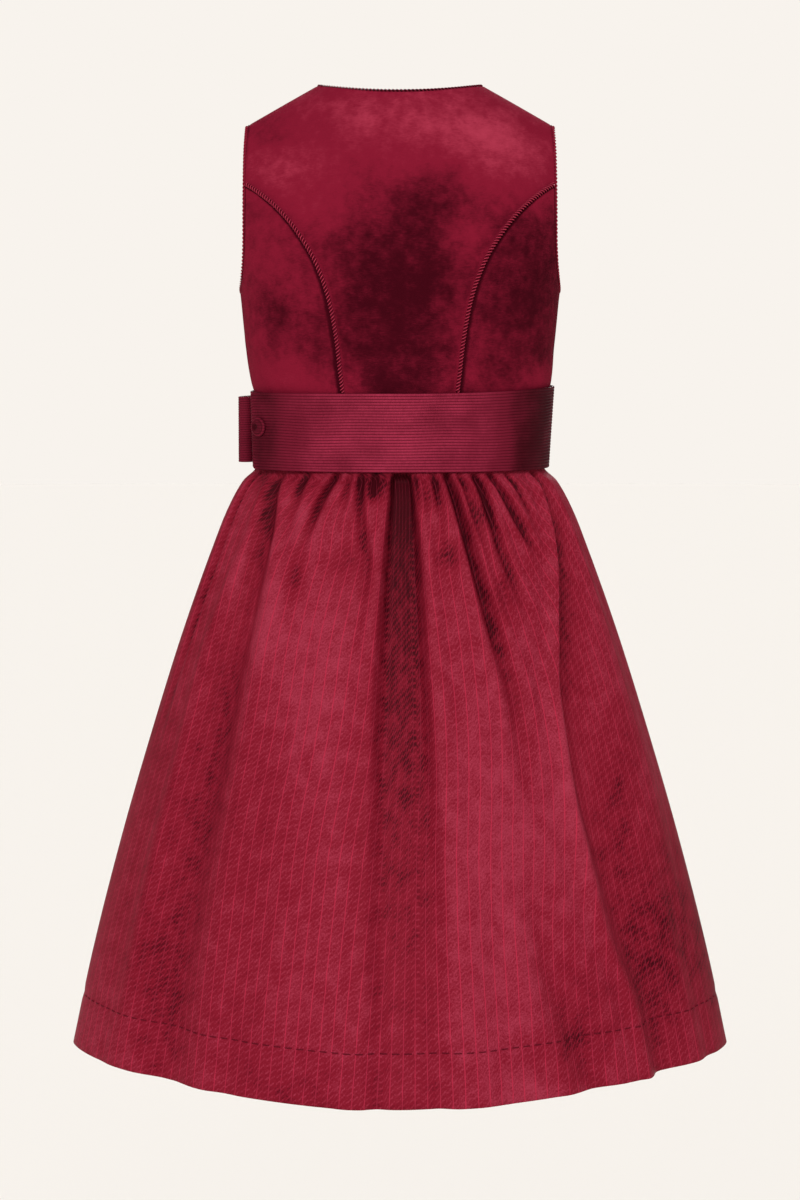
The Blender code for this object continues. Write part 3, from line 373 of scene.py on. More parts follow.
def torso_normal(turn, level):
    """The outward direction of that surface, from two small steps on it."""
    top, low = np.minimum(level + NUDGE_LEVEL, 2.0), np.minimum(level, 2.0 - NUDGE_LEVEL / 2) - NUDGE_LEVEL
    along = torso_point(turn + NUDGE_TURN, level) - torso_point(turn - NUDGE_TURN, level)
    normal = np.cross(torso_point(turn, top) - torso_point(turn, low), along)
    normal[..., 1] *= level < 2 - SAME_LEVEL
    return unit(normal)


def halve(low, high, too_low, steps=34):
    """The value between low and high at which too_low turns from true to false."""
    for _ in range(steps):
        middle = (low + high) / 2
        below = too_low(middle)
        low, high = np.where(below, middle, low), np.where(below, high, middle)
    return (low + high) / 2


def turn_at_edge(edge, level, face):
    """The turn, on the wearer's right, at which a level meets an edge given by its distance from the centre."""
    centre = 90.0 if face == "back" else -90.0

    def too_near(share):
        x, _, height = np.moveaxis(torso_point(centre * (1 - share), level), -1, 0)
        return x < smooth_curve(edge, height)

    return centre * (1 - halve(np.zeros(np.shape(level)), np.ones(np.shape(level)), too_near))


def level_of_height(height):
    """The level of a height below the shoulders' curve."""
    return (height - WAIST_SEAM_HEIGHT) / (SHOULDER_CURVE_HEIGHT - WAIST_SEAM_HEIGHT)


def crossing_level():
    """The level at which the curved back seam runs into the armhole, which is between 1.1 and 1.8."""
    return float(halve(1.1, 1.8, lambda level: (
        turn_at_edge(BACK_SEAM, level, "back") > turn_at_edge(BACK_ARMHOLE, level, "back"))))


def front_neck_level():
    """The level of the neck's lowest point at the centre front, which is between 1 and 1.9."""
    return float(halve(1.0, 1.9, lambda level: torso_point(-90.0, level)[..., 2] < FRONT_NECK_BOTTOM))


def back_neck_level(across):
    """The level of the back neck's edge at a distance from the centre line."""
    share = np.minimum(np.abs(across) / NECK_POINT_WIDTH, 1)
    height = BACK_NECK_HEIGHT + BACK_NECK_RISE * share ** 2
    rise = (height - SHOULDER_CURVE_HEIGHT) / (shoulder_height(across) - SHOULDER_CURVE_HEIGHT)
    lean = np.arcsin(np.clip(rise, 0, 1) ** (SHOULDER_POWER / 2))
    return np.where(share < 1 - SAME_LEVEL, 1 + lean / (np.pi / 2), 2.0)


def side_turns(levels, armhole, face):
    """The turn of the side seam, and above it of the armhole's edge."""
    at_armhole = turn_at_edge(armhole, levels, face)
    return np.where(levels <= level_of_height(UNDERARM_HEIGHT) + SAME_LEVEL, 0.0, at_armhole)


def mirrored(points):
    """The same points on the wearer's other side."""
    return points * np.array([-1.0, 1.0, 1.0])


def crowded(count):
    """Shares from 0 to 1 that crowd together at both ends, as a cosine does."""
    return 0.5 - 0.5 * np.cos(np.linspace(0, np.pi, count))


def linear_colour(code):
    """An sRGB hex value as linear red, green and blue, with full alpha."""
    parts = [int(code[i:i + 2], 16) / 255 for i in (1, 3, 5)]
    return [p / 12.92 if p <= 0.04045 else ((p + 0.055) / 1.055) ** 2.4 for p in parts] + [1.0]


class Value:
    """A value in a material's nodes. Sums of values add Math nodes, so they read as sums."""

    def __init__(self, owner, socket):
        self.owner, self.socket = owner, socket

    def math(self, operation, *others):
        """One Math node, with this value first."""
        return add(self.owner, "Math", enumerate((self, *others)), operation=operation)

    __add__ = partialmethod(math, "ADD")
    __sub__ = partialmethod(math, "SUBTRACT")
    __mul__ = partialmethod(math, "MULTIPLY")
    __truediv__ = partialmethod(math, "DIVIDE")
    __abs__ = partialmethod(math, "ABSOLUTE")
    fraction = partialmethod(math, "FRACT")
    maximum = partialmethod(math, "MAXIMUM")

    def ramp(self, low, high):
        """0 at low and 1 at high, smoothly."""
        return add(self.owner, "MapRange", {"Value": self, "From Min": low, "From Max": high},
                   interpolation_type="SMOOTHSTEP")

    def wander(self, noise, amount):
        """The value moved up and down by a noise, by so much either way."""
        return self + (noise - 0.5) * amount

    def blend(self, first, second):
        """Two colours mixed by this share."""
        return add(self.owner, "Mix", {0: self, 6: first, 7: second}, 2, data_type="RGBA")

    def stops(self, dark, middle, bright):
        """Three colours blended by this share: dark at 0, the middle one at a half and bright at 1."""
        return self.ramp(0.5, 1).blend(self.ramp(0, 0.5).blend(dark, middle), bright)

    def noise(self, scale, detail, roughness=0.5):
        """A noise between 0 and 1 at this place, with so many waves to a metre."""
        inputs = {"Vector": self, "Scale": scale, "Detail": detail, "Roughness": roughness}
        return add(self.owner, "TexNoise", inputs, "Fac")

    def squeezed(self, shares):
        """This place with its axes squeezed, so that a noise there is drawn out along them."""
        return add(self.owner, "Mapping", {"Vector": self, "Scale": shares})


def connect(tree, node, inputs):
    """Sets a node's sockets to numbers or sRGB hex colours, or joins other values to them."""
    for socket, value in dict(inputs).items():
        if isinstance(value, Value):
            tree.links.new(value.socket, node.inputs[socket])
        else:
            node.inputs[socket].default_value = linear_colour(value) if isinstance(value, str) else value


def add(owner, kind, inputs=(), output=0, **settings):
    """Adds a node to a material or world and gives its output. Inputs go by socket name or number, and settings
    are the node's own properties."""
    tree = owner.node_tree
    made = tree.nodes.new("ShaderNode" + kind)
    for name, value in settings.items():
        setattr(made, name, value)
    connect(tree, made, inputs)
    return Value(owner, made.outputs[output])


def finished(material, colour, roughness, gloss, bump=None, height=0.0, sheen=()):
    """Sets the material's shader, with a bump as high as this, in metres, from a value between 0 and 1."""
    inputs = {"Base Color": colour, "Roughness": roughness, "Specular IOR Level": gloss, **dict(sheen)}
    if bump is not None:
        inputs["Normal"] = add(material, "Bump", {"Height": bump, "Distance": height, "Strength": 1.0})
    connect(material.node_tree, material.node_tree.nodes["Principled BSDF"], inputs)
    return material


def new_material(name):
    """A material with a Principled shader."""
    material = bpy.data.materials.new(name)
    material.use_nodes = True
    return material


def painted_light_there(material):
    """The painted light at a point, with the velvet's nap: the share of light that it faces."""
    return add(material, "Attribute", output="Fac", attribute_name="nap_and_painted_light")


def cloth_place(material):
    """The place on the flat cloth, in metres, and the painted light and nap there."""
    return add(material, "UVMap", uv_map="cloth"), painted_light_there(material)


def crushed_velvet():
    """Cotton velvet with a short cut pile that has been pressed in patches: it is painted deep and dark where the
    pile leans away from the light and crimson where it leans towards it, with painted light where the cloth faces
    the lamps and painted shade in its grooves and beside the cords. Clouds, rubs and the pile's own short level
    streaks break the patches up. It has hardly any gloss."""
    material = new_material("crushed_velvet")
    place, nap_and_painted_light = add(material, "TexCoord", output="Object"), painted_light_there(material)
    cloud, rub = place.noise(30, 5, 0.6), place.noise(120, 3, 0.6)
    pile = place.squeezed((0.2, 0.2, 1)).noise(1500, 3)
    share = nap_and_painted_light.wander(cloud, 0.42).wander(rub, 0.3).wander(pile, 0.26)
    sheen = {"Sheen Weight": 0.03, "Sheen Roughness": 0.4, "Sheen Tint": "#D8485F"}
    return finished(material, share.stops("#3A0410", "#7A142A", "#A43248"), 0.9, 0.03, rub * 0.6 + pile * 0.4,
                    0.0004, sheen)


STRIPE_PITCH = 0.0096
STROKE_PITCH = 0.0049


def striped_jacquard():
    """Satin-ground jacquard: a thin bright warp stripe every 9.6 mm, a faint line midway between, and weft
    strokes that lean up to the right across each half. The satin ground is painted shining or deep by the painted
    light attribute, with painted shade at the bottom of deep folds; the stripes come in a painted lit and shaded
    colour, and the stripes and strokes stay matt."""
    material = new_material("striped_jacquard")
    place, turned = cloth_place(material)
    across, down = (add(material, "SeparateXYZ", {0: place}, axis) for axis in (0, 1))
    waver, slub = place.noise(70, 2), place.noise(700, 3, 0.7)
    cell = (across.wander(waver, 0.0011) / STRIPE_PITCH).fraction()
    from_middle = abs(cell - 0.5)
    stripe = from_middle.ramp(0.44, 0.475) * slub.ramp(0.1, 0.55)
    beat = ((across + down) / STROKE_PITCH + cell.math("GREATER_THAN", 0.5) * 0.5).fraction()
    inside_half = abs((cell * 2).fraction() - 0.5).ramp(0.48, 0.28)
    stroke = abs(beat - 0.5).ramp(0.24, 0.1) * inside_half
    figure = stroke.maximum(from_middle.ramp(0.055, 0.02) * 0.4)
    shade = turned.wander(waver, turned * -1 + 1.15)
    lit = shade.ramp(0.1, 0.8)
    share = shade.wander(slub, 0.95) + figure * (lit * -0.33 + 0.39)
    # Painted shade at the bottom of deep folds, and the stripes in a painted lit or shaded colour.
    deep_fold_shade = turned.ramp(0.2, -0.3) * 0.8
    ground = deep_fold_shade.blend(share.stops("#3A0811", "#781425", "#9B3246"), "#3E0811")
    colour = stripe.blend(ground, lit.blend("#751C2D", "#AC2A42"))
    raised = (figure * 0.6).maximum(stripe)
    return finished(material, colour, raised * 0.2 + 0.48, 0.02, raised * 0.7 + slub * 0.3, 0.00014)


def ribbed_taffeta():
    """Taffeta pleated into fine ribs and pressed: a painted lengthwise sheen on each rib, painted shade in the
    grooves between them, and more painted shade where the ribbon turns away from the light."""
    material = new_material("ribbed_taffeta")
    place, turned = cloth_place(material)
    thread = place.squeezed((1, 0.12, 1)).noise(1800, 2)
    rib = (add(material, "SeparateXYZ", {0: place}, 1) / (RIB_PITCH * MM)).fraction()
    ridge = abs(rib - 0.5).ramp(0.5, 0.3)
    share = turned.wander(place.noise(34, 3), 0.5).wander(thread, 0.25) * (ridge * 0.7 + 0.36)
    return finished(material, share.stops("#36060F", "#681628", "#A02E48"), 0.5, 0.02, thread, 0.00008)


def satin_cord(name, dark, light):
    """Rayon cord of two twisted strands: a painted highlight where a strand stands out, painted shade in the
    grooves between, with soft threads that run along each strand."""
    material = new_material(name)
    place, crest = cloth_place(material)
    thread = place.squeezed((0.15, 1, 1)).noise(2600, 2)
    colour = crest.wander(thread, 0.3).ramp(0.5, 1).blend(dark, light)
    return finished(material, colour, 0.5, 0.03, thread, 0.00006)


def sewing_thread():
    """Polyester thread, dark red where it sinks into the cloth."""
    material = new_material("sewing_thread")
    fibre = add(material, "TexCoord", output="Object").noise(2200, 2)
    return finished(material, fibre.blend("#4C0714", "#681020"), 0.6, 0.05, fibre, 0.00005)


def numbered(rows, columns):
    """The point numbers of a grid, row by row."""
    return np.arange(rows * columns).reshape(rows, columns)


def quads(index, ring=False, loop=False):
    """Faces between the rows of a grid of point numbers. Each row may close as a ring, and the rows as a loop."""
    if ring:
        index = np.concatenate([index, index[:, :1]], axis=1)
    if loop:
        index = np.concatenate([index, index[:1]])
    corners = index[:-1, :-1], index[:-1, 1:], index[1:, 1:], index[1:, :-1]
    return np.stack(corners, axis=-1).reshape(-1, 4)


FLIPPED = [0, 3, 2, 1]


def add_mesh(name, points, faces, material, uv=None, nap_and_painted_light=None):
    """A smooth mesh object from a grid of points in millimetres, with the place on the flat cloth and the painted
    light, with the nap's lean, for each point."""
    mesh = bpy.data.meshes.new(name)
    mesh.from_pydata((np.reshape(points, (-1, 3)) * MM).tolist(), [], faces)
    if uv is not None:
        loops = np.empty(len(mesh.loops), dtype=np.int32)
        mesh.loops.foreach_get("vertex_index", loops)
        mesh.uv_layers.new(name="cloth").data.foreach_set("uv", (np.reshape(uv, (-1, 2)) * MM)[loops].ravel())
    if nap_and_painted_light is not None:
        mesh.attributes.new("nap_and_painted_light", "FLOAT", "POINT").data.foreach_set("value", nap_and_painted_light.ravel().astype(np.float32))
    mesh.materials.append(material)
    mesh.shade_smooth()
    thing = bpy.data.objects.new(name, mesh)
    bpy.context.scene.collection.objects.link(thing)
    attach(thing, "root")
    return thing


def shell(name, points, outward, material, thickness, uv, nap_and_painted_light):
    """A thin cloth shell on a grid of outer points, thickened inwards. Faces are turned to look outwards."""
    faces = quads(numbered(*points.shape[:2]))
    corner = points.reshape(-1, 3)[faces]
    normal = np.cross(corner[:, 2] - corner[:, 0], corner[:, 3] - corner[:, 1])
    if (normal * outward.reshape(-1, 3)[faces[:, 0]]).sum() < 0:
        faces = faces[:, ::-1]
    cloth = add_mesh(name, points, faces.tolist(), material, uv, nap_and_painted_light)
    wall = cloth.modifiers.new("wall", "SOLIDIFY")
    wall.thickness = thickness * MM
    wall.offset = -1.0
    return cloth


def ribbed_strip(name, outer, inner, material, uv, turned):
    """A closed wall: the many rows of the ribbed outer side between the two of the plain inner side, with a fan
    of triangles at each end. Turned is the painted light for each column: how far the ribbon faces the light."""
    points = np.concatenate([inner[:1], outer, inner[1:]])
    index = numbered(*points.shape[:2])
    faces = quads(index, loop=True)[:, FLIPPED].tolist()
    for column, order in ((0, 1), (-1, -1)):
        edge = index[:, column]
        faces += np.stack([edge[2:], edge[1:-1], np.full(len(edge) - 2, edge[0])], axis=-1)[:, ::order].tolist()
    uv = np.concatenate([uv[:1], uv, uv[-1:]])
    return add_mesh(name, points, faces, material, uv, np.tile(turned, len(index)))


def replace_sheet(node):
    """Hides the imported part that the piece stands for."""
    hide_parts(node)


# How much of a seam's lap the three rows nearest the edge take.
LAP_SHARES = (1.0, 0.6, 0.25)


def let_out(points, lap):
    """Moves the four edges of a grid of points outwards, square to each edge, so that two panels lap at a seam
    and no light comes through it."""
    moved = points.copy()
    for axis in (0, 1):
        rows, target = np.moveaxis(points, axis, 0), np.moveaxis(moved, axis, 0)
        for edge, beside in ((0, 3), (-1, -4)):
            inward = unit(square_to(unit(np.gradient(rows[edge], axis=0)), rows[beside] - rows[edge]))
            for k, share in enumerate(LAP_SHARES):
                target[edge + k * (1 if edge == 0 else -1)] -= share * lap * inward
    return moved


EDGE_ROLL = 1.1
EDGE_ROLL_REACH = 2.6
# A sunk line of stitches beside the armhole: how far in, its reach, its depth and its painted shade.
GROOVE_IN = 3.0
GROOVE_REACH = 0.9
GROOVE_DEPTH = 0.35
GROOVE_SHADE = 0.3
CORD_LIP = 1.7
CORD_LIP_REACH = 20.0
LIP_AIM_ROW = 6


def lipped(points, first, last, top):
    """Lets a panel's edges reach a little further out, under the cord that lies along them. First, last and top
    are the shares of that reach along the first and last columns and the top row."""
    moved = points.copy()
    for axis, flip, share in ((1, False, first), (1, True, last), (0, True, top)):
        rows, target = np.moveaxis(points, axis, 0), np.moveaxis(moved, axis, 0)
        if flip:
            rows, target = rows[::-1], target[::-1]
        fade = np.clip(1 - lengths_along(rows) / CORD_LIP_REACH, 0, 1) ** 2
        target += (CORD_LIP * fade * share)[..., None] * unit(rows[0] - rows[LIP_AIM_ROW])
    return moved


def edge_distances(points):
    """Distances of a grid's points from its first and last column and its first and last row."""
    across, up = lengths_across(points), lengths_along(points)
    return across, across[:, -1:] - across, up, up[-1:] - up


def rolled(distance):
    """How far a folded edge rounds off inwards: a quarter ellipse over the last few millimetres."""
    away = 1 - np.clip(distance / EDGE_ROLL_REACH, 0, 1)
    return EDGE_ROLL * (1 - np.sqrt(1 - away ** 2))


# Patches of crushed pile that leans to the light or away, and of painted light and shade, such as the painted
# light band below the shoulders: x and height, reach to the sides and up, and how much.
Patch = namedtuple("Patch", "x height wide high lean")
BACK_NAP_AND_PAINTED_LIGHT = [Patch(*row) for row in (
    (0, -12, 120, 34, 0.34), (-88, -56, 44, 22, 0.26), (-94, -22, 26, 16, -0.16), (90, -48, 44, 34, 0.3),
    (96, -20, 20, 12, -0.12), (52, -22, 40, 14, 0.16), (-52, -84, 40, 14, 0.08), (0, -165, 58, 76, -0.33),
    (2, -112, 56, 34, -0.13), (28, -70, 34, 22, -0.22), (-100, -120, 20, 24, 0.1), (-96, -158, 14, 16, -0.18),
    (-98, -212, 34, 16, 0.16), (-84, -150, 34, 70, -0.08), (96, -150, 34, 80, -0.3), (104, -212, 18, 16, 0.17),
    (-8, -222, 30, 14, -0.12), (44, -104, 18, 18, 0.1), (-34, -215, 12, 26, 0.1),
)]
FRONT_NAP_AND_PAINTED_LIGHT = [Patch(*row) for row in (
    (-80, -30, 60, 45, 0.4), (80, -30, 60, 45, 0.4), (-45, -120, 45, 40, 0.2), (50, -125, 45, 40, 0.16),
    (0, -190, 60, 60, -0.3), (-96, -190, 26, 40, -0.15), (90, -205, 34, 22, 0.2), (22, -225, 30, 16, 0.15),
)]
NAP_AND_PAINTED_LIGHT_LEVEL = 0.38
PATCH_SPREAD = 1.6


def nap_and_painted_light_of(points, patches, level):
    """The painted light and the lean of the pile at each point: a level, plus a soft oval patch for each row of a
    table.
    """
    lean = np.full(points.shape[:-1], level)
    for patch in patches:
        away = np.hypot((points[..., 0] - patch.x) / patch.wide, (points[..., 2] - patch.height) / patch.high)
        lean += patch.lean * bell(away / PATCH_SPREAD)
    return lean


# Soft ripples of the velvet: turn and level of the middle, reach along each, and depth, below 0 for a ridge.
Ripple = namedtuple("Ripple", "turn level turn_reach level_reach depth")
RIPPLES = [Ripple(*row) for row in (
    (0, 0.24, 50, 0.26, -2), (150, 0.36, 26, 0.1, 1), (158, 0.52, 24, 0.09, -0.8), (146, 0.7, 20, 0.12, 0.9),
    (32, 0.38, 26, 0.1, 1), (24, 0.56, 24, 0.1, -0.8), (36, 0.78, 20, 0.12, 0.8), (98, 0.4, 20, 0.08, 0.7),
    (84, 0.55, 22, 0.08, -0.5), (90, 1.62, 46, 0.12, 0.7), (118, 1.25, 12, 0.22, 0.9), (62, 1.25, 12, 0.22, 0.9),
    (210, 0.4, 24, 0.1, 1), (232, 0.6, 22, 0.12, -0.7), (330, 0.42, 24, 0.1, 1), (308, 0.62, 22, 0.12, -0.7),
    (252, 0.86, 14, 0.14, 0.6), (288, 0.86, 14, 0.14, 0.6),
)]


def ripple_depth(turn, level):
    """How far the velvet sinks at a turn and level: an oval dent or swell for each row of the table."""
    depth = np.zeros(np.broadcast(turn, level).shape)
    for ripple in RIPPLES:
        around = ((turn - ripple.turn + 180) % 360 - 180) / ripple.turn_reach
        depth += ripple.depth * bell(np.hypot(around, (level - ripple.level) / ripple.level_reach))
    return depth


# How the velvet lies beside a seam cord, with painted shadow on the side backs and a painted highlight on the
# centre back: reach, how much darker, and how far it sinks.
SHADED_SIDE = (6.0, 1.1, 1.4)
BRIGHT_SIDE = (4.0, -0.25, -0.3)


def velvet_panel(node, turns, levels, material, patches, armhole, neck=(0, 0), top=0.0, beside=()):
    """A bodice panel on a grid of turns and levels, with folded edges that round off. Armhole is the share of
    a sunk line of stitches, with its painted shade, and of the cord's lip along the first and last columns, neck and
    top the cord's lip alone along those and along the top row, and beside how the velvet sinks next to a seam cord
    there, with its painted shadow or highlight."""
    base, normal = torso_point(turns, levels), torso_normal(turns, levels)
    lips = [side + neck_side for side, neck_side in zip(armhole, neck)]
    points = lipped(let_out(base, SEAM_LAP / 2), *lips, top)
    first, last, low, high = edge_distances(points)
    sink = np.maximum(np.maximum(rolled(first), rolled(last)), np.maximum(rolled(low), rolled(high)))
    sink = sink + ripple_depth(turns, levels)
    nap_and_painted_light = nap_and_painted_light_of(points, patches, NAP_AND_PAINTED_LIGHT_LEVEL)
    # Painted shade down the sunk line of stitches.
    for distance, share in zip((first, last), armhole):
        line = share[:, None] * bell((distance - GROOVE_IN) / GROOVE_REACH)
        sink, nap_and_painted_light = sink + GROOVE_DEPTH * line, nap_and_painted_light - GROOVE_SHADE * line
    # Painted shadow or painted highlight on the velvet beside a seam cord.
    for distance, (reach, darker, deeper), share in beside:
        close = share[:, None] * bell((first, last)[distance] / reach)
        sink, nap_and_painted_light = sink + deeper * close, nap_and_painted_light - darker * close
    points = points - normal * sink[..., None]
    uv = stacked(first - first[:, -1:] / 2, base[..., 2])
    cloth = shell(node.replace("bodice", "velvet"), points, normal, material, VELVET_THICK, uv, nap_and_painted_light)
    replace_sheet(node)
    return points, normal


def panel_pair(node, first, last, count, levels, turn_sum, velvet, patches, armhole, neck=(0, 0), beside=()):
    """A bodice panel on the wearer's right, between two edges given as a turn at each level, and its mirror
    image on the left. Turn_sum is what a turn and its mirror image add up to."""
    turns = between(first[:, None], last[:, None], crowded(count))
    grid = np.broadcast_to(levels[:, None], turns.shape)
    flipped = [(1 - column, look, share) for column, look, share in beside]
    return (velvet_panel(node + "_right", turns, grid, velvet, patches, armhole, neck, beside=beside),
            velvet_panel(node + "_left", turn_sum - turns[:, ::-1], grid, velvet, patches, armhole[::-1],
                         neck[::-1], beside=flipped))


def underarm_share(levels):
    """1 where the outer edge is the armhole's, easing to 0 just above the side seam."""
    return smooth_step((levels - level_of_height(UNDERARM_HEIGHT)) / UNDERARM_FADE)


# Rows of the panels' grids, stretch by stretch from the waist up, and their columns.
SIDE_BACK_ROWS, SIDE_BACK_COLUMNS = (70, 64), 54
BACK_ROWS, SHOULDER_COLUMNS, BACK_NECK_COLUMNS = (110, 60), 26, 71
FRONT_ROWS, FRONT_COLUMNS = (60, 30, 70), 80


def make_back_sides(velvet):
    """The two side backs, from the waist to a point where the curved seam meets the armhole."""
    low, (below, above) = level_of_height(UNDERARM_HEIGHT), SIDE_BACK_ROWS
    levels = np.concatenate([low * crowded(below), between(low, crossing_level() - SEAM_TIP, crowded(above)[1:])])
    seam, side = turn_at_edge(BACK_SEAM, levels, "back"), side_turns(levels, BACK_ARMHOLE, "back")
    none = np.zeros(len(levels))
    pair = panel_pair("bodice_back_side", side, seam, SIDE_BACK_COLUMNS, levels, 180, velvet, BACK_NAP_AND_PAINTED_LIGHT,
                      (underarm_share(levels), none), beside=[(1, SHADED_SIDE, none + 1)])
    return *pair, levels


def back_centre_grid():
    """Turns and levels of the centre back: the curved seams below, the armholes above, and the neck's edge
    along the top between the shoulders."""
    crossing, (low, rows_above) = crossing_level(), BACK_ROWS
    levels = np.concatenate([(crossing - SEAM_TIP) * crowded(low), between(crossing, 2, crowded(rows_above))])
    edge = turn_at_edge(BACK_ARMHOLE, levels, "back")
    edge[:low] = turn_at_edge(BACK_SEAM, levels[:low], "back")
    fine = np.linspace(edge[-1], 90, 400)
    neck_turn = np.interp(-NECK_POINT_WIDTH, -torso_point(fine, 2.0)[:, 0], fine)
    neck_share = (90 - neck_turn) / (90 - edge[-1])
    shoulder = between(neck_share, 1, (1 - crowded(SHOULDER_COLUMNS))[:-1])
    neck = neck_share * np.sin(np.linspace(np.pi / 2, -np.pi / 2, BACK_NECK_COLUMNS))
    shares = np.concatenate([shoulder, neck, -shoulder[::-1]])
    turns = 90 - (90 - edge)[:, None] * shares
    across = torso_point(turns[-1], 2.0)[:, 0]
    for _ in range(3):
        top = back_neck_level(across)
        across = torso_point(turns[-1], top)[:, 0]
    top[:len(shoulder) + 1] = top[-len(shoulder) - 1:] = 2.0
    above = np.maximum(levels - levels[low], 0) / (2 - levels[low])
    grid = np.minimum(levels, levels[low])[:, None] + above[:, None] * (top - levels[low])
    return turns, grid, slice(len(shoulder), len(shoulder) + len(neck)), levels, low


# How the velvet's lip fades: along the back neck as a share of its half, and in levels from the front neck's
# lowest point, below the shoulder and above the underarm.
NECK_LIP_FADE = 0.12
NECK_LIP_START = 0.03
NECK_LIP_END = 0.06
UNDERARM_FADE = 0.06


def make_back_centre(velvet):
    """The centre back, from the waist to the neck, with the shoulders' back halves."""
    turns, grid, neck, levels, low = back_centre_grid()
    armhole = (np.arange(len(levels)) >= low).astype(float)
    top = np.zeros(turns.shape[1])
    top[neck] = smooth_step(np.minimum(1 - np.abs(np.linspace(-1, 1, len(top[neck]))), NECK_LIP_FADE) / NECK_LIP_FADE)
    beside = tuple((edge, BRIGHT_SIDE, 1 - armhole) for edge in (0, 1))
    points, normal = velvet_panel("bodice_back_centre", turns, grid, velvet, BACK_NAP_AND_PAINTED_LIGHT, (armhole, armhole), top=top,
                                  beside=beside)
    return points[low:], normal[low:]


def make_fronts(velvet):
    """The two fronts, which meet edge to edge at the centre."""
    low, neck = level_of_height(UNDERARM_HEIGHT), front_neck_level()
    below, middle, above = FRONT_ROWS
    levels = np.concatenate([low * crowded(below), between(low, neck, np.linspace(0, 1, middle)[1:]),
                             between(neck, 2, crowded(above)[1:])])
    side, centre = side_turns(levels, FRONT_ARMHOLE, "front"), turn_at_edge(FRONT_NECK, levels, "front")
    centre[levels <= neck + SAME_LEVEL] = -90.0
    none = np.zeros(len(levels))
    opened = smooth_step((levels - neck) / NECK_LIP_START) * smooth_step((2 - levels) / NECK_LIP_END)
    pair = panel_pair("bodice_front", centre, side, FRONT_COLUMNS, levels, -180, velvet, FRONT_NAP_AND_PAINTED_LIGHT,
                      (none, underarm_share(levels)), (opened, none))
    return *pair, levels


STRANDS = 2
STRAND_SIDES = 8
STEPS_PER_LAY = 12


def resampled(path, step, closed=False):
    """A path's points again at even steps along it."""
    if closed:
        path = np.concatenate([path, path[:1]])
    distance = lengths_along(path)
    count = max(int(round(distance[-1] / step)), 4)
    at = np.linspace(0, distance[-1], count + 1)
    points = along_line(at, distance, path)
    return points[:-1] if closed else points


def smoothed(path, closed, rounds=12):
    """A path with its small corners eased, its ends kept."""
    for _ in range(rounds):
        mean = (np.roll(path, 1, axis=0) + 2 * path + np.roll(path, -1, axis=0)) / 4
        if not closed:
            mean[0], mean[-1] = path[0], path[-1]
        path = mean
    return path


def twisted_cord(node, path, aside, radius, lay, material, closed=False):
    """Two strands wound round a path. Each strand's middle circles the path once in a lay, and its surface
    circles that middle. Aside is a direction across the path at each point."""
    step = lay / STEPS_PER_LAY
    both = smoothed(resampled(np.concatenate([path, aside], axis=-1), step, closed), closed)
    path, aside = both[:, :3], both[:, 3:]
    ahead = np.roll(path, -1, axis=0) - np.roll(path, 1, axis=0)
    if not closed:
        ahead[0], ahead[-1] = path[1] - path[0], path[-1] - path[-2]
    tangent = unit(ahead)
    across = unit(square_to(tangent, aside))
    count = len(path)
    laps = max(round(count * step / lay), 1) if closed else count * step / lay
    turn = np.arange(count) * 2 * np.pi * laps / count
    strand_radius = radius / 2
    around = np.arange(STRAND_SIDES) * 2 * np.pi / STRAND_SIDES
    index = numbered(count, STRAND_SIDES)
    tube = quads(index, ring=True, loop=closed)
    points, faces, uv = [], [], []
    for k in range(STRANDS):
        out = circled(turn + 2 * np.pi * k / STRANDS, across, np.cross(tangent, across))
        ring = circled(around, out[:, None], np.cross(tangent, out)[:, None])
        points.append(path[:, None] + out[:, None] * (radius - strand_radius) + ring * strand_radius)
        first = k * index.size
        faces += (tube + first).tolist()
        if not closed:
            faces += [(index[0, ::-1] + first).tolist(), (index[-1] + first).tolist()]
        uv.append(stacked(np.arange(count)[:, None] * step, around * strand_radius + 10 * k))
    # Painted highlight on each strand's outer side, fading to painted shade towards the grooves.
    crest = np.tile(np.maximum(np.cos(around), 0), count * STRANDS)
    piece = add_mesh("twisted_" + node, points, faces, material, uv, crest)
    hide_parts(node)


def both_cords(name, path, aside, *rest):
    """A cord on the wearer's right and its mirror image on the left."""
    twisted_cord(name + "_right", path, aside, *rest)
    twisted_cord(name + "_left", mirrored(path), mirrored(aside), *rest)


EDGE_CORD_SINK = 0.7
NECK_CORD_AWAY = 1.9
# The front neck's lowest stretch runs level, where the velvet's lip doesn't reach up to the cord.
NECK_CORD_CLOSER = 1.35
NECK_CORD_CLOSE_REACH = 0.3
ARMHOLE_CORD_AWAY = 1.3


def beside_edge(turns, levels, side, away):
    """The line of a cord along a cut edge and so far off it, a little under the velvet's face."""
    edge, normal = torso_point(turns, levels), torso_normal(turns, levels)
    outward = unit(side * np.cross(unit(np.gradient(edge, axis=0)), normal))
    return edge - normal * EDGE_CORD_SINK + outward * away, normal


SEAM_LAY = 5.2
EDGE_LAY = 6.0
CORD_END_RISE = 1.2


def make_seam_cords(cord):
    """Cord on the curved back seams, from the belt's top edge to just short of the armhole."""
    start = level_of_height(BELT_TOP + CORD_END_RISE)
    levels = np.linspace(start, crossing_level() - 2 * SEAM_TIP, 90)
    turns = turn_at_edge(BACK_SEAM, levels, "back")
    normal = torso_normal(turns, levels)
    path = torso_point(turns, levels) + normal * SEAM_CORD_OUT
    both_cords("seam_cord", path, normal, CORD_RADIUS, SEAM_LAY, cord)


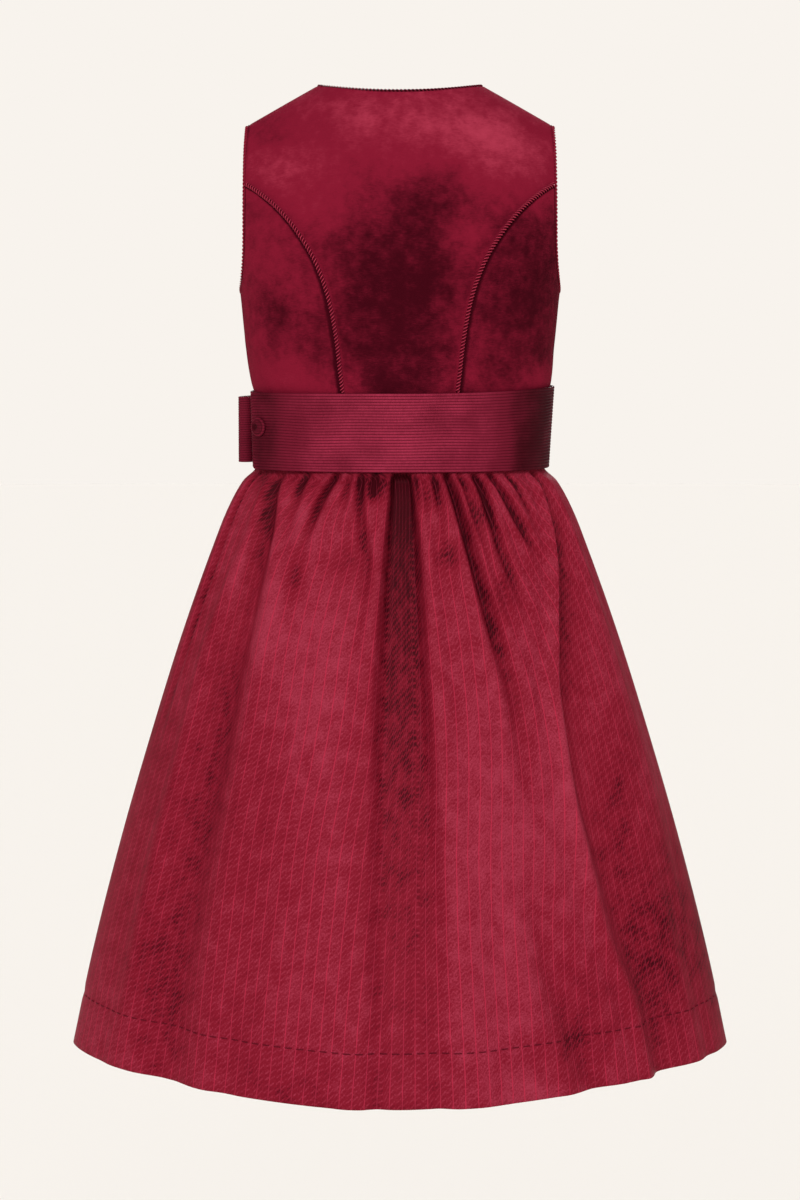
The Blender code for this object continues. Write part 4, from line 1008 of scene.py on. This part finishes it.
def make_neck_cord(cord):
    """One cord round the neck, from the centre front over both shoulders and the back."""
    levels = np.linspace(front_neck_level(), 2.0, 70)
    close = 1 - smooth_step((levels[:, None] - levels[0]) / NECK_CORD_CLOSE_REACH)
    away = NECK_CORD_AWAY - NECK_CORD_CLOSER * close
    front, front_aside = beside_edge(turn_at_edge(FRONT_NECK, levels, "front"), levels, 1, away)
    turns, grid, neck, _, _ = back_centre_grid()
    back, back_aside = beside_edge(turns[-1][neck], grid[-1][neck], 1, NECK_CORD_AWAY)
    front[0] += (front[1] - front[0]) * (NECK_CORD_START - front[0, 0]) / (front[1, 0] - front[0, 0])
    right = np.concatenate([front[:-1], (front[-1:] + back[:1]) / 2])
    path = np.concatenate([right, back[1:-1], mirrored(right)[::-1]])
    aside = np.concatenate([front_aside, back_aside[1:-1], mirrored(front_aside)[::-1]])
    twisted_cord("neck_cord", path, aside, EDGE_CORD_RADIUS, EDGE_LAY, cord)


def make_armhole_cords(cord):
    """A ring of cord round each armhole: up the back, over the shoulder and down the front."""
    levels = np.linspace(level_of_height(UNDERARM_HEIGHT), 2.0, 80)
    back, back_aside = beside_edge(side_turns(levels, BACK_ARMHOLE, "back"), levels, 1, ARMHOLE_CORD_AWAY)
    front, front_aside = beside_edge(side_turns(levels, FRONT_ARMHOLE, "front"), levels, -1, ARMHOLE_CORD_AWAY)
    underarm, shoulder = (back[:1] + front[:1]) / 2, (back[-1:] + front[-1:]) / 2
    path = np.concatenate([underarm, back[1:-1], shoulder, front[1:-1][::-1]])
    aside = np.concatenate([back_aside, front_aside[1:-1][::-1]])
    both_cords("armhole_cord", path, aside, EDGE_CORD_RADIUS, EDGE_LAY, cord, True)


def half_oval(face, sizes):
    """Fine points of one half of an oval from the wearer's left to the right: x, y, the outward direction
    and the distance along it from its middle."""
    turn = np.linspace(180, 0 if face == "back" else 360, OVAL_STEPS + 1)
    x, y = oval(turn, *sizes)
    along = lengths_along(stacked(x, y))
    outward = stacked(np.gradient(y), -np.gradient(x)) * (1 if face == "back" else -1)
    outward[0], outward[-1] = (-1, 0), (1, 0)
    return x, y, unit(outward), along - along[-1] / 2


def folds_at(face, height):
    """Places along the half oval, reaches to the left and right, flat shares and depths of the folds."""
    sizes = section_at(SKIRT, height)
    x, _, _, along = half_oval(face, sizes)
    started = smooth_step((FOLD_START_HEIGHT - height) / (FOLD_START_HEIGHT - FOLD_FULL_HEIGHT))
    grown, here = between(FOLD_UNDER_BELT, 1, started), []
    for fold in BACK_FOLDS if face == "back" else FRONT_FOLDS:
        heights, *columns = zip(*fold.stations)
        place, left, right, depth = (float(smooth_curve(list(zip(heights, c)), height)) for c in columns)
        here.append((np.interp(place * sizes[0], x, along), left, right, fold.flat, depth * grown))
    return here


def fold_shape(reach, flat):
    """Depth of a fold across it: 1 over its flat floor, easing to 0 at its sides, below 0 at the crests."""
    trough = smooth_step((1 - reach) / (1 - flat))
    crest = smooth_step(1 - np.abs(reach - CREST_PLACE) / CREST_REACH)
    return trough - CREST_SHARE * crest


def crease_depth(face, height, share):
    """Extra depth of the long soft creases, at shares of the half width. Each fades in from its upper end, and
    fades out again if it ends above the hem."""
    half_width = section_at(SKIRT, height)[0]
    depth = np.zeros_like(share)
    for crease in BACK_CREASES if face == "back" else FRONT_CREASES:
        run = (crease.from_height - height) / (crease.from_height - crease.to_height)
        place = between(crease.from_share, crease.to_share, run)
        faded = smooth_step(run / CREASE_FADE)
        if crease.to_height > SKIRT[-1].at:
            faded = faded * smooth_step((1 - run) / CREASE_FADE)
        depth += crease.depth * faded * bell((share - place) * half_width / crease.reach)
    return depth


def skirt_row(face, height):
    """One row of half the skirt: its outer points, how far each is hidden down a narrow fold, which sets the
    painted shade there, and how much of the gathered cloth is packed there."""
    x, y, outward, fine = half_oval(face, section_at(SKIRT, height))
    along = np.linspace(fine[0], fine[-1], SKIRT_COLUMNS)
    base, normal = along_line(along, fine, stacked(x, y)), unit(along_line(along, fine, outward))
    inward = crease_depth(face, height, base[:, 0] / x[-1])
    packed, hidden = np.full(SKIRT_COLUMNS, PACKED_EVENLY), np.zeros(SKIRT_COLUMNS)
    for place, left, right, flat, depth in folds_at(face, height):
        reach = np.abs(along - place) / np.where(along < place, left, right)
        inward += depth * fold_shape(reach, flat)
        hidden = np.maximum(hidden, np.clip(2 * depth / (left + right), 0, 1) * smooth_step((1 - reach) / (1 - flat)))
        packed += max(depth, 0) * np.exp(-(reach / PACKED_REACH) ** 2)
    inward *= smooth_step((fine[-1] - np.abs(along)) / SIDE_SEAM_EASE)
    middle = 1 - (base[:, 0] / x[-1]) ** 2
    hem_share = between(HEM_SIDE_SHARE, HEM_CENTRE_SHARE, middle)
    down = (SKIRT[0].at - height) / (SKIRT[0].at - SKIRT[-1].at)
    drop = (height - SKIRT[0].at) * (1 + down * (hem_share - 1))
    return np.column_stack([base - normal * inward[:, None], SKIRT[0].at + drop]), hidden, packed


def skirt_heights():
    """Rows of the skirt: close together where the gathers leave the belt, then 6 mm apart down to the hem."""
    return np.concatenate([[-253.6, -266.0], np.linspace(-274.0, -300.0, 16), np.linspace(-302.5, -340.0, 13),
                           np.linspace(-345.0, SKIRT[-1].at, 68)])


def cloth_across(points, packed):
    """How far along the cloth's own width each point lies, in millimetres from the middle. Every row holds as
    much cloth as the hem does, and what a higher row has no room for is packed mostly into its folds, so that
    the stripes run into the gathers."""
    step = np.linalg.norm(np.diff(points, axis=1), axis=-1)
    share = (packed[:, 1:] + packed[:, :-1]) / 2
    spare = step[-1].sum() - step.sum(axis=1)
    step = step + spare[:, None] * share / share.sum(axis=1, keepdims=True)
    across = np.concatenate([np.zeros((len(points), 1)), np.cumsum(step, axis=1)], axis=1)
    return across - across[:, -1:] / 2


# Patches of painted sheen and shade on the satin skirt's back and front, and the level they lie on.
SKIRT_PAINTED_LIGHT_BACK = [Patch(*row) for row in (
    (-18, -288, 13, 12, -0.66), (24, -293, 13, 16, -0.22), (3, -296, 14, 26, -0.2), (6, -520, 26, 120, -0.1),
    (-26, -560, 12, 140, -0.1), (-48, -470, 24, 60, -0.04), (62, -620, 24, 60, -0.05), (-182, -480, 24, 70, -0.1),
    (35, -343, 10, 15, -0.4), (60, -308, 9, 22, -0.36), (78, -371, 10, 20, -0.36), (95, -326, 15, 30, -0.12),
    (-71, -289, 12, 12, -0.35), (-80, -325, 24, 26, 0.14), (-112, -388, 22, 40, 0.2), (-117, -550, 44, 100, -0.14),
    (-196, -630, 44, 80, -0.16), (-180, -520, 30, 60, -0.1), (-78, -740, 60, 36, -0.22), (62, -740, 40, 36, -0.06),
    (136, -500, 24, 80, 0.16), (96, -735, 26, 20, 0.18), (-101, -291, 12, 10, -0.4), (-79, -356, 9, 20, -0.35),
    (-42, -345, 20, 14, -0.25), (-101, -314, 12, 14, -0.3), (-125, -690, 25, 40, -0.14),
    (-184, -680, 28, 70, -0.14), (-147, -400, 16, 50, -0.16), (120, -708, 34, 22, -0.2), (150, -672, 30, 40, -0.15),
    (168, -520, 16, 60, -0.24), (204, -634, 34, 80, -0.38), (250, -650, 20, 90, -0.35), (-63, -435, 31, 82, 0.14),
    (74, -587, 43, 156, 0.14),
)]
SKIRT_PAINTED_LIGHT_FRONT = [Patch(*row) for row in (
    (-55, -292, 13, 16, -0.7), (0, -294, 13, 14, -0.7), (38, -290, 13, 16, -0.7), (84, -310, 12, 30, -0.5),
    (-100, -310, 14, 30, -0.5), (-130, -690, 26, 40, -0.5), (150, -700, 26, 36, -0.45), (-205, -640, 22, 80, -0.4),
    (205, -650, 22, 80, -0.4), (-60, -470, 50, 110, 0.2), (70, -520, 50, 130, 0.2),
)]
SKIRT_PAINTED_LIGHT_LEVEL = 0.625
# Painted shade: how much darker the satin is painted at the bottom of a fold as deep as it is wide.
FOLD_SHADE = 0.66
# Painted shade along the side seams, and how far from them it reaches.
SIDE_SEAM_SHADE = 0.3
SIDE_SEAM_SHADE_REACH = 2.5


def make_skirt(face, jacquard):
    """Half the skirt: the folded sheet down to the hem, turned up inside it, with its pucker at the stitches.
    Along the cloth, each point's place is its row's share of the hem's width and its distance down."""
    points, hidden, packed = (np.stack(part) for part in zip(*(skirt_row(face, h) for h in skirt_heights())))
    normal = unit(np.cross(np.gradient(points, axis=0), np.gradient(points, axis=1)))
    normal *= 1 if face == "back" else -1
    across = cloth_across(points, packed)
    points = let_out(points, SEAM_LAP / 2)
    down = lengths_along(points)
    from_hem = down[-1:] - down
    points = points - normal * (PUCKER_DEPTH * bell((from_hem - HEM_STITCH_RISE) / PUCKER_REACH))[..., None]
    turned = np.linspace(0, HEM_DEPTH, HEM_ROWS + 1)[1:]
    inside = [row_up(points, from_hem, up) - row_up(normal, from_hem, up) * HEM_LAYER_GAP for up in turned]
    roll = points[-1] - normal[-1] * HEM_ROLL + np.array([0, 0, -HEM_DROP])
    full = np.concatenate([points, roll[None], inside])
    outward = np.concatenate([normal, normal[-1:], [-row_up(normal, from_hem, up) for up in turned]])
    under = ((0, HEM_ROWS + 1), (0, 0))
    # Painted sheen and shade: the patches, then painted shade down the folds and along the side seams.
    nap_and_painted_light = nap_and_painted_light_of(full, SKIRT_PAINTED_LIGHT_BACK if face == "back" else SKIRT_PAINTED_LIGHT_FRONT, SKIRT_PAINTED_LIGHT_LEVEL)
    nap_and_painted_light = nap_and_painted_light - FOLD_SHADE * np.pad(hidden, under)
    nap_and_painted_light = nap_and_painted_light - SIDE_SEAM_SHADE * bell(np.minimum(*edge_distances(full)[:2]) / SIDE_SEAM_SHADE_REACH)
    cloth_down = np.concatenate([down, down[-1:] + HEM_ROLL, down[-1:] + turned[:, None]])
    place = stacked(np.pad(across, under, mode="edge"), cloth_down)
    piece = shell(f"jacquard_skirt_{face}", full, outward, jacquard, JACQUARD_THICK, place, nap_and_painted_light)
    replace_sheet(f"skirt_{face}")
    return points, normal, from_hem, across


def row_up(grid, from_hem, up):
    """The points of a grid's columns that lie a distance up from the hem."""
    place = np.clip((from_hem > up).sum(axis=0) - 1, 0, len(grid) - 2)
    column = np.arange(grid.shape[1])
    high, low = from_hem[place, column], from_hem[place + 1, column]
    share = np.clip((high - up) / np.maximum(high - low, NO_LENGTH), 0, 1)[:, None]
    return grid[place, column] * (1 - share) + grid[place + 1, column] * share


def belt_point(turn, share, out):
    """A point beside the belt's path. Share runs from its bottom edge to its top, and out is the distance
    from the clothes under it. The belt sits a little higher and looser at the wearer's right."""
    right = np.clip(np.cos(np.radians(turn)), 0, 1) ** 2
    left = np.clip(-np.cos(np.radians(turn)), 0, 1) ** 2
    top = BELT_TOP + BELT_SIDE_RISE * right - left
    height = between(BELT_BOTTOM, top, share)
    out = out + right * (BELT_SIDE_SLACK + BELT_TOP_FLARE * share)
    low, high = section_at(TORSO, 0.0), section_at(TORSO, level_of_height(top))
    half_width, back, front, power = (between(a, b, share) for a, b in zip(low, high))
    x, y = oval(turn, half_width + out, back + out, front + out, power)
    return stacked(x, y, height)


def belt_lift(turn):
    """How far the belt's outer end stands off the clothes, to pass over its own start and spring off past its
    stud."""
    start, full = BELT_LIFT_TURNS
    first, last = BELT_SPRING_TURNS
    lap = (BELT_WALL + SOLID_RELIEF + BELT_LAP_GAP) * smooth_step((turn - start) / (full - start))
    return lap + BELT_SPRING * smooth_step((turn - first) / (last - first))


# Rows across one rib, from groove to groove, as shares of its width.
RIB_ROWS = (0.0, 0.1, 0.25, 0.5, 0.75, 0.9)


def ribs(count, relief):
    """Shares across a ribbed strip, how far each row is raised, as half a circle is, and the place of each row
    among the ribs, in millimetres of flat ribbon."""
    across = np.array([rib + row for rib in range(count) for row in RIB_ROWS] + [count])[:, None]
    raised = relief * np.sqrt(np.maximum(1 - (2 * (across % 1) - 1) ** 2, 0))
    return across / count, raised, across * RIB_PITCH


# Painted light round the belt: how much of the light the ribs catch, painted dark where the belt turns away at
# both sides: turn and share.
BELT_LIGHT = (
    (-214, 0.5), (-180, 0.62), (-60, 0.62), (0, 0.3), (28, 0.1), (40, 0.17), (50, 0.5), (66, 0.64), (92, 0.7),
    (122, 0.65), (134, 0.5), (143, 0.24), (153, 0.2), (157.6, 0.3),
)


def make_belt(ribbon):
    """One ribbed strip: from under its own end at the wearer's left round the front, the right and the back,
    and over its start, with rounded corners and a slight waver."""
    turns = BELT_UNDER_TURN - 360 + BELT_SWEEP * np.linspace(0, 1, BELT_COLUMNS)
    ends = np.degrees((1 - np.cos(np.linspace(0, np.pi / 2, 8)[:-1])) * BELT_CORNER / BELT_RADIUS)
    turns = np.concatenate([turns[0] + ends, turns[4:-4], turns[-1] - ends[::-1]])
    shares, ridge, flat_across = ribs(RIB_COUNT, RIB_RELIEF)
    base = BELT_CLEARANCE + belt_lift(turns)
    from_end = np.radians(np.minimum(turns - turns[0], turns[-1] - turns)) * BELT_RADIUS
    away = 1 - np.clip(from_end / BELT_CORNER, 0, 1)
    corner = BELT_CORNER * (1 - np.sqrt(1 - away ** 2)) / (BELT_TOP - BELT_BOTTOM)
    shares = shares * (1 - 2 * corner) + corner
    flat_end = smooth_step(from_end / BELT_END_FLAT)
    outer = belt_point(turns, shares, base + BELT_WALL - BELT_GROOVE + ridge * flat_end)
    inner = belt_point(turns, shares[[0, -1]], base)
    waver = sum(high * np.sin(np.radians(turns * waves + start)) for high, waves, start in BELT_WAVER)
    outer[..., 2] += waver * (1 - np.abs(2 * shares - 1) ** 2)
    uv = stacked(np.radians(turns) * BELT_RADIUS, flat_across)
    piece = ribbed_strip("ribbed_belt", outer, inner, ribbon, uv, smooth_curve(BELT_LIGHT, turns))
    replace_sheet("belt")


# The stud's painted light, before its painted shade and highlight.
STUD_LIGHT = 0.28


def make_stud(ribbon):
    """A low cloth-covered disc on the straight end of the belt: a flat face with the ribs faintly across it, a
    faint ring where the rounded rim starts, and a dimple set towards the belt's end."""
    turns = np.array(STUD_STRETCH)
    out = BELT_CLEARANCE + belt_lift(turns) + BELT_WALL + SOLID_RELIEF + STUD_STAND_OFF
    near, end = belt_point(turns, 0.5, out)
    centre = between(near, end, STUD_SHARE)
    centre[2] = STUD_HEIGHT
    along = unit((end - near) * np.array([1, 1, 0]))
    outward, up = np.array([along[1], -along[0], 0.0]), np.array([0.0, 0.0, 1.0])
    outward *= -np.sign(outward[1])
    share, angle = STUD_RINGS, np.linspace(0, 2 * np.pi, STUD_COLUMNS + 1)[None, :-1]
    beside, above = STUD_RADIUS * share * np.cos(angle), STUD_RADIUS * share * np.sin(angle)
    rim = np.sqrt(np.maximum(1 - np.clip((share - STUD_FACE) / (1 - STUD_FACE), 0, 1) ** 2, 0))
    ring = bell((share - STUD_FACE) / RING_REACH)
    hollow = bell(np.hypot(beside - DIMPLE_ASIDE, above) / DIMPLE_REACH)
    high = STUD_THICK * (between(STUD_SIDE_SHARE, 1, rim) - DIMPLE_DEPTH * hollow - RING_DEPTH * ring)
    high += STUD_RIB_RELIEF * np.abs(np.cos(np.pi * above / RIB_PITCH)) * smooth_step((0.9 - share) / 0.2)
    high[0] = 0.0
    points = centre + beside[..., None] * along + above[..., None] * up + high[..., None] * outward
    index = numbered(*points.shape[:2])
    faces = quads(index, ring=True)[:, FLIPPED].tolist() + [index[0].tolist(), index[-1, ::-1].tolist()]
    # Painted shade in the dimple and the ring, and a painted highlight round the rim.
    light = STUD_LIGHT - 0.5 * hollow - 0.12 * ring + 0.16 * bell((share - 0.88) / 0.14)
    piece = add_mesh("covered_stud", points, faces, ribbon, stacked(beside, above + STUD_RADIUS), light)
    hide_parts("belt_stud")


def bow_point(along, out, height):
    """A point off the belt at a distance along it from the middle of the bow, towards the wearer's back."""
    turn = np.linspace(BOW_TURN + BOW_ARC, BOW_TURN - BOW_ARC, 2 * BOW_ARC_STEPS + 1)
    base = belt_point(turn, 1.0, BELT_CLEARANCE + BELT_WALL + SOLID_RELIEF)[:, :2]
    outward = unit(np.gradient(base, axis=0)[:, ::-1] * (1, -1))
    distance = lengths_along(base)
    distance -= distance[BOW_ARC_STEPS]
    flat = along_line(along, distance, base) + np.expand_dims(out, -1) * along_line(along, distance, outward)
    return stacked(flat[..., 0], flat[..., 1], BOW_MIDDLE + height)


def loop_path(wall):
    """The path of a bow loop: along the belt, round the end and back. Distance from the knot, distance from
    the belt and half height, for one side of the ribbon that lies wall away from its middle."""
    leaf = np.linspace(0, LEAF_END, LEAF_COLUMNS)
    end = np.radians(np.linspace(-LOOP_END_ANGLE, LOOP_END_ANGLE, LOOP_END_COLUMNS))
    share = np.concatenate([leaf, between(LEAF_END, 1, np.cos(end)), leaf[::-1]])
    side = np.concatenate([-np.ones(len(leaf)), np.sin(end), np.ones(len(leaf))])
    forward = np.concatenate([np.zeros(len(leaf)), np.cos(end), np.zeros(len(leaf))])
    thick = between(BOW_PINCH_GAP, BOW_LOOP_THICK, smooth_step(share / LOOP_THICK_SHARE))
    out = BOW_STAND_OFF + BOW_LEAN * share ** 2 + thick / 2 * (1 + side) + wall * side
    high = between(BOW_PINCH_HEIGHT, BOW_HEIGHT, smooth_step(share / LOOP_HIGH_SHARE))
    return BOW_LOOP_START + BOW_LOOP_LENGTH * share + wall * forward, out, high / 2


# The bow's painted light, the same all over it.
BOW_LIGHT = 0.42


def ribbon_piece(node, outer, inner, flat_across, ribbon):
    """A ribbed piece of ribbon, with its cloth coordinates, in place of the imported part, which it hides."""
    uv = stacked(lengths_along(outer[len(outer) // 2]), flat_across)
    piece = ribbed_strip("ribbed_" + node, outer, inner, ribbon, uv, np.full(outer.shape[1], BOW_LIGHT))
    replace_sheet(node)


def make_bow_loop(node, side, ribbon):
    """A hollow ribbed loop of ribbon. Side is 1 for the loop towards the wearer's back, -1 for the other."""
    shares, ridge, flat_across = ribs(BOW_RIBS, BOW_RIB_RELIEF)
    along, out, half = loop_path(RIBBON_WALL / 2 - BOW_GROOVE + ridge)
    outer = bow_point(side * along, out, (2 * shares - 1) * half)
    along, out, half = loop_path(-RIBBON_WALL / 2 + np.zeros((2, 1)))
    inner = bow_point(side * along, out, np.array([[-1.0], [1.0]]) * half)
    if side < 0:
        outer, inner = outer[:, ::-1], inner[:, ::-1]
    ribbon_piece(node, outer, inner, flat_across, ribbon)


def make_bow_knot(ribbon):
    """The ribbon wrapped over the bow's middle: up off the belt, down the front and back in."""
    angle = np.radians(np.concatenate([[0, 6, 14], np.linspace(24, 156, 25), [166, 174, 180]]))
    shares, ridge, flat_across = ribs(KNOT_RIBS, BOW_RIB_RELIEF)

    def side_of(wall, across):
        high = (KNOT_HEIGHT / 2 + wall) * signed_power(np.cos(angle), KNOT_BOXINESS)
        out = KNOT_STAND_OFF + (KNOT_DEPTH + wall) * signed_power(np.sin(angle), KNOT_BOXINESS)
        return bow_point(across, out, high)

    outer = side_of(RIBBON_WALL / 2 - BOW_GROOVE + ridge, (shares - 0.5) * KNOT_WIDTH)
    inner = side_of(-RIBBON_WALL / 2 + np.zeros((2, 1)), np.array([[-KNOT_WIDTH / 2], [KNOT_WIDTH / 2]]))
    ribbon_piece("bow_knot", outer[:, ::-1], inner[:, ::-1], flat_across, ribbon)


STITCH_SIDES = 5
# Length, radius and how far out each stitch lies.
HEM_STITCH = (6.2, 0.42, 0.05)
EDGE_STITCH = (2.1, 0.22, 0.1)
EDGE_STITCH_PITCH = 2.8
HEM_STITCH_MARGIN = 4.0
EDGE_STITCH_MARGIN = 1.5
# In levels, how far above the underarm the stitches start.
STITCH_START = 0.05


def stitches(name, centre, along, outward, sizes, thread):
    """Short stitches: each is a thread that comes up, runs along the cloth and dives back, as a tube of five
    sides along a low arch."""
    length, radius, out = sizes
    centre = centre + outward * out
    ahead = np.array([-1.0, -0.8, -0.4, 0.4, 0.8, 1.0]) * length / 2
    above = np.array([-0.9, 0.3, 0.8, 0.8, 0.3, -0.9]) * radius
    thick = np.array([0.5, 0.95, 1.0, 1.0, 0.95, 0.5]) * radius
    around = np.arange(STITCH_SIDES) * 2 * np.pi / STITCH_SIDES
    ring = circled(around, outward[:, None], np.cross(along, outward)[:, None])
    middle = centre[:, None] + ahead[:, None] * along[:, None] + above[:, None] * outward[:, None]
    points = middle[:, :, None] + thick[:, None, None] * ring[:, None]
    index = numbered(len(ahead), STITCH_SIDES)
    first = np.arange(len(centre)) * index.size
    faces = (quads(index, ring=True)[None] + first[:, None, None]).reshape(-1, 4).tolist()
    faces += (index[0, ::-1] + first[:, None]).tolist() + (index[-1] + first[:, None]).tolist()
    add_mesh(name, points, faces, thread)


def make_hem_stitches(face, skirt, thread):
    """Blind stitches round the hem, one to a stripe, sunk into a slight pucker."""
    points, normal, from_hem, across = skirt
    line, facing = (row_up(grid, from_hem, HEM_STITCH_RISE) for grid in (points, normal))
    wide, pitch = across[-1], STRIPE_PITCH / MM
    first, last = wide[[0, -1]] + (HEM_STITCH_MARGIN, -HEM_STITCH_MARGIN)
    at = np.arange(np.ceil(first / pitch) + 0.5, np.floor(last / pitch)) * pitch
    centre, outward = along_line(at, wide, line), unit(along_line(at, wide, facing))
    along = unit(along_line(at + 1, wide, line) - along_line(at - 1, wide, line))
    stitches(f"hem_stitches_{face}", centre, along, outward, HEM_STITCH, thread)


def make_edge_stitches(name, panels, thread):
    """A row of stitches sunk beside an armhole's edge. Panels gives each stretch's points, directions, and
    whether the edge is their first or last column."""
    centre, along, outward = [], [], []
    for points, normal, levels_in, column in panels:
        if column == -1:
            points, normal = points[:, ::-1], normal[:, ::-1]
        points, normal = points[levels_in], normal[levels_in]
        in_from_edge = lengths_across(points)
        line, facing = (np.stack([along_line(GROOVE_IN, *row) for row in zip(in_from_edge, grid)])
                        for grid in (points, normal))
        distance = lengths_along(line)
        at = np.arange(EDGE_STITCH_MARGIN, distance[-1] - EDGE_STITCH_MARGIN, EDGE_STITCH_PITCH)
        centre.append(along_line(at, distance, line))
        along.append(unit(along_line(at + 0.5, distance, line) - along_line(at - 0.5, distance, line)))
        outward.append(unit(along_line(at, distance, facing)))
    centre, along, outward = (np.concatenate(part) for part in (centre, along, outward))
    stitches(name, centre, along, outward, EDGE_STITCH, thread)


BACKGROUND = "#F8F3ED"
CAMERA_PLACE = (0.0, -2.73, -0.1193)
CAMERA_AIM = (0.0, 0.0, -0.3845)
# The lens at which 0.78 mm of the dress fill one pixel of the photo's 1200, on a 36 mm sensor.
CAMERA_LENS = 105.5
FLOOR_HEIGHT = -2.2
FLOOR_REACH = 30.0


def aimed(thing, place, aim):
    """Places an object and turns it to look at a point."""
    thing.location = place
    thing.rotation_euler = (Vector(aim) - Vector(place)).to_track_quat("-Z", "Y").to_euler()
    bpy.context.scene.collection.objects.link(thing)


def make_camera():
    """The camera at the photo's angle: a little above the waist, looking slightly down."""
    data = bpy.data.cameras.new("camera")
    data.sensor_width = 36.0
    data.lens = CAMERA_LENS
    camera = bpy.data.objects.new("camera", data)
    aimed(camera, CAMERA_PLACE, CAMERA_AIM)
    bpy.context.scene.camera = camera


# Soft lights: name, azimuth from the camera's side, elevation, strength and width in degrees.
LIGHTS = (
    ("key", -5, 27, 2.4, 30), ("left_fill", -68, 20, 0.35, 50), ("right_fill", 62, 18, 0.35, 50),
    ("top", 0, 80, 0.4, 60), ("front_key", 175, 27, 2.4, 30), ("front_left_fill", 112, 20, 0.35, 50),
    ("front_right_fill", 242, 18, 0.35, 50),
)
AMBIENT = 0.14
LIGHT_DISTANCE = 4.0


def make_lights():
    """Wide soft lights all round, and a pale world that shows as the photo's plain ground."""
    for name, azimuth, elevation, strength, width in LIGHTS:
        data = bpy.data.lights.new(name, "SUN")
        data.energy = strength
        data.angle = np.radians(width)
        a, e = np.radians(azimuth), np.radians(elevation)
        place = LIGHT_DISTANCE * np.array([np.sin(a) * np.cos(e), -np.cos(a) * np.cos(e), np.sin(e)])
        aimed(bpy.data.objects.new(name, data), place, (0, 0, 0))
    world = bpy.data.worlds.new("studio")
    world.use_nodes = True
    bpy.context.scene.world = world
    lit = add(world, "Background", {"Color": "#FFFDFA", "Strength": AMBIENT})
    shown = add(world, "Background", {"Color": BACKGROUND})
    mix = add(world, "MixShader", {0: add(world, "LightPath", output="Is Camera Ray"), 1: lit, 2: shown})
    connect(world.node_tree, world.node_tree.nodes["World Output"], {"Surface": mix})


def make_floor():
    """A plain pale floor, well below the hem. Its paint is as much darker than the photo's ground as the lights
    that fall on it are brighter than 1, so that it comes out as that ground."""
    material = new_material("pale_floor")
    light = AMBIENT + sum(strength * np.sin(np.radians(high)) for _, _, high, strength, _ in LIGHTS) / np.pi
    paint = [float(part / light) for part in linear_colour(BACKGROUND)[:3]] + [1.0]
    finished(material, paint, 1.0, 0.0)
    angle = np.linspace(0, 2 * np.pi, 65)[:-1]
    points = stacked(FLOOR_REACH * np.cos(angle), FLOOR_REACH * np.sin(angle), FLOOR_HEIGHT)
    mesh = bpy.data.meshes.new("floor")
    mesh.from_pydata(points.tolist(), [], [list(range(64))])
    mesh.materials.append(material)
    floor = bpy.data.objects.new("floor", mesh)
    bpy.context.scene.collection.objects.link(floor)


def main():
    """Makes every piece, the camera, the lights and the floor."""
    make_camera()
    make_lights()
    make_floor()
    bpy.context.scene.view_settings.view_transform = "Standard"
    velvet, jacquard, ribbon = crushed_velvet(), striped_jacquard(), ribbed_taffeta()
    bright_cord = satin_cord("bright_satin_cord", "#640E20", "#BA3C54")
    dark_cord = satin_cord("dark_satin_cord", "#30060F", "#96283F")
    edge_cord = satin_cord("velvet_coloured_cord", "#7A1428", "#A02C44")
    thread = sewing_thread()
    *backs, side_levels = make_back_sides(velvet)
    centre = make_back_centre(velvet)
    *fronts, front_levels = make_fronts(velvet)
    low = level_of_height(UNDERARM_HEIGHT) + STITCH_START
    for side, column, back, front in zip(("right", "left"), (0, -1), backs, fronts):
        make_edge_stitches(f"armhole_stitches_{side}", (
            (*back, side_levels > low, column), (*centre, slice(None), column),
            (*front, front_levels > low, -1 - column)), thread)
    make_seam_cords(bright_cord)
    make_neck_cord(dark_cord)
    make_armhole_cords(edge_cord)
    for face in ("back", "front"):
        make_hem_stitches(face, make_skirt(face, jacquard), thread)
    make_belt(ribbon)
    make_stud(ribbon)
    make_bow_loop("bow_loop_rear", 1, ribbon)
    make_bow_loop("bow_loop_front", -1, ribbon)
    make_bow_knot(ribbon)


main()
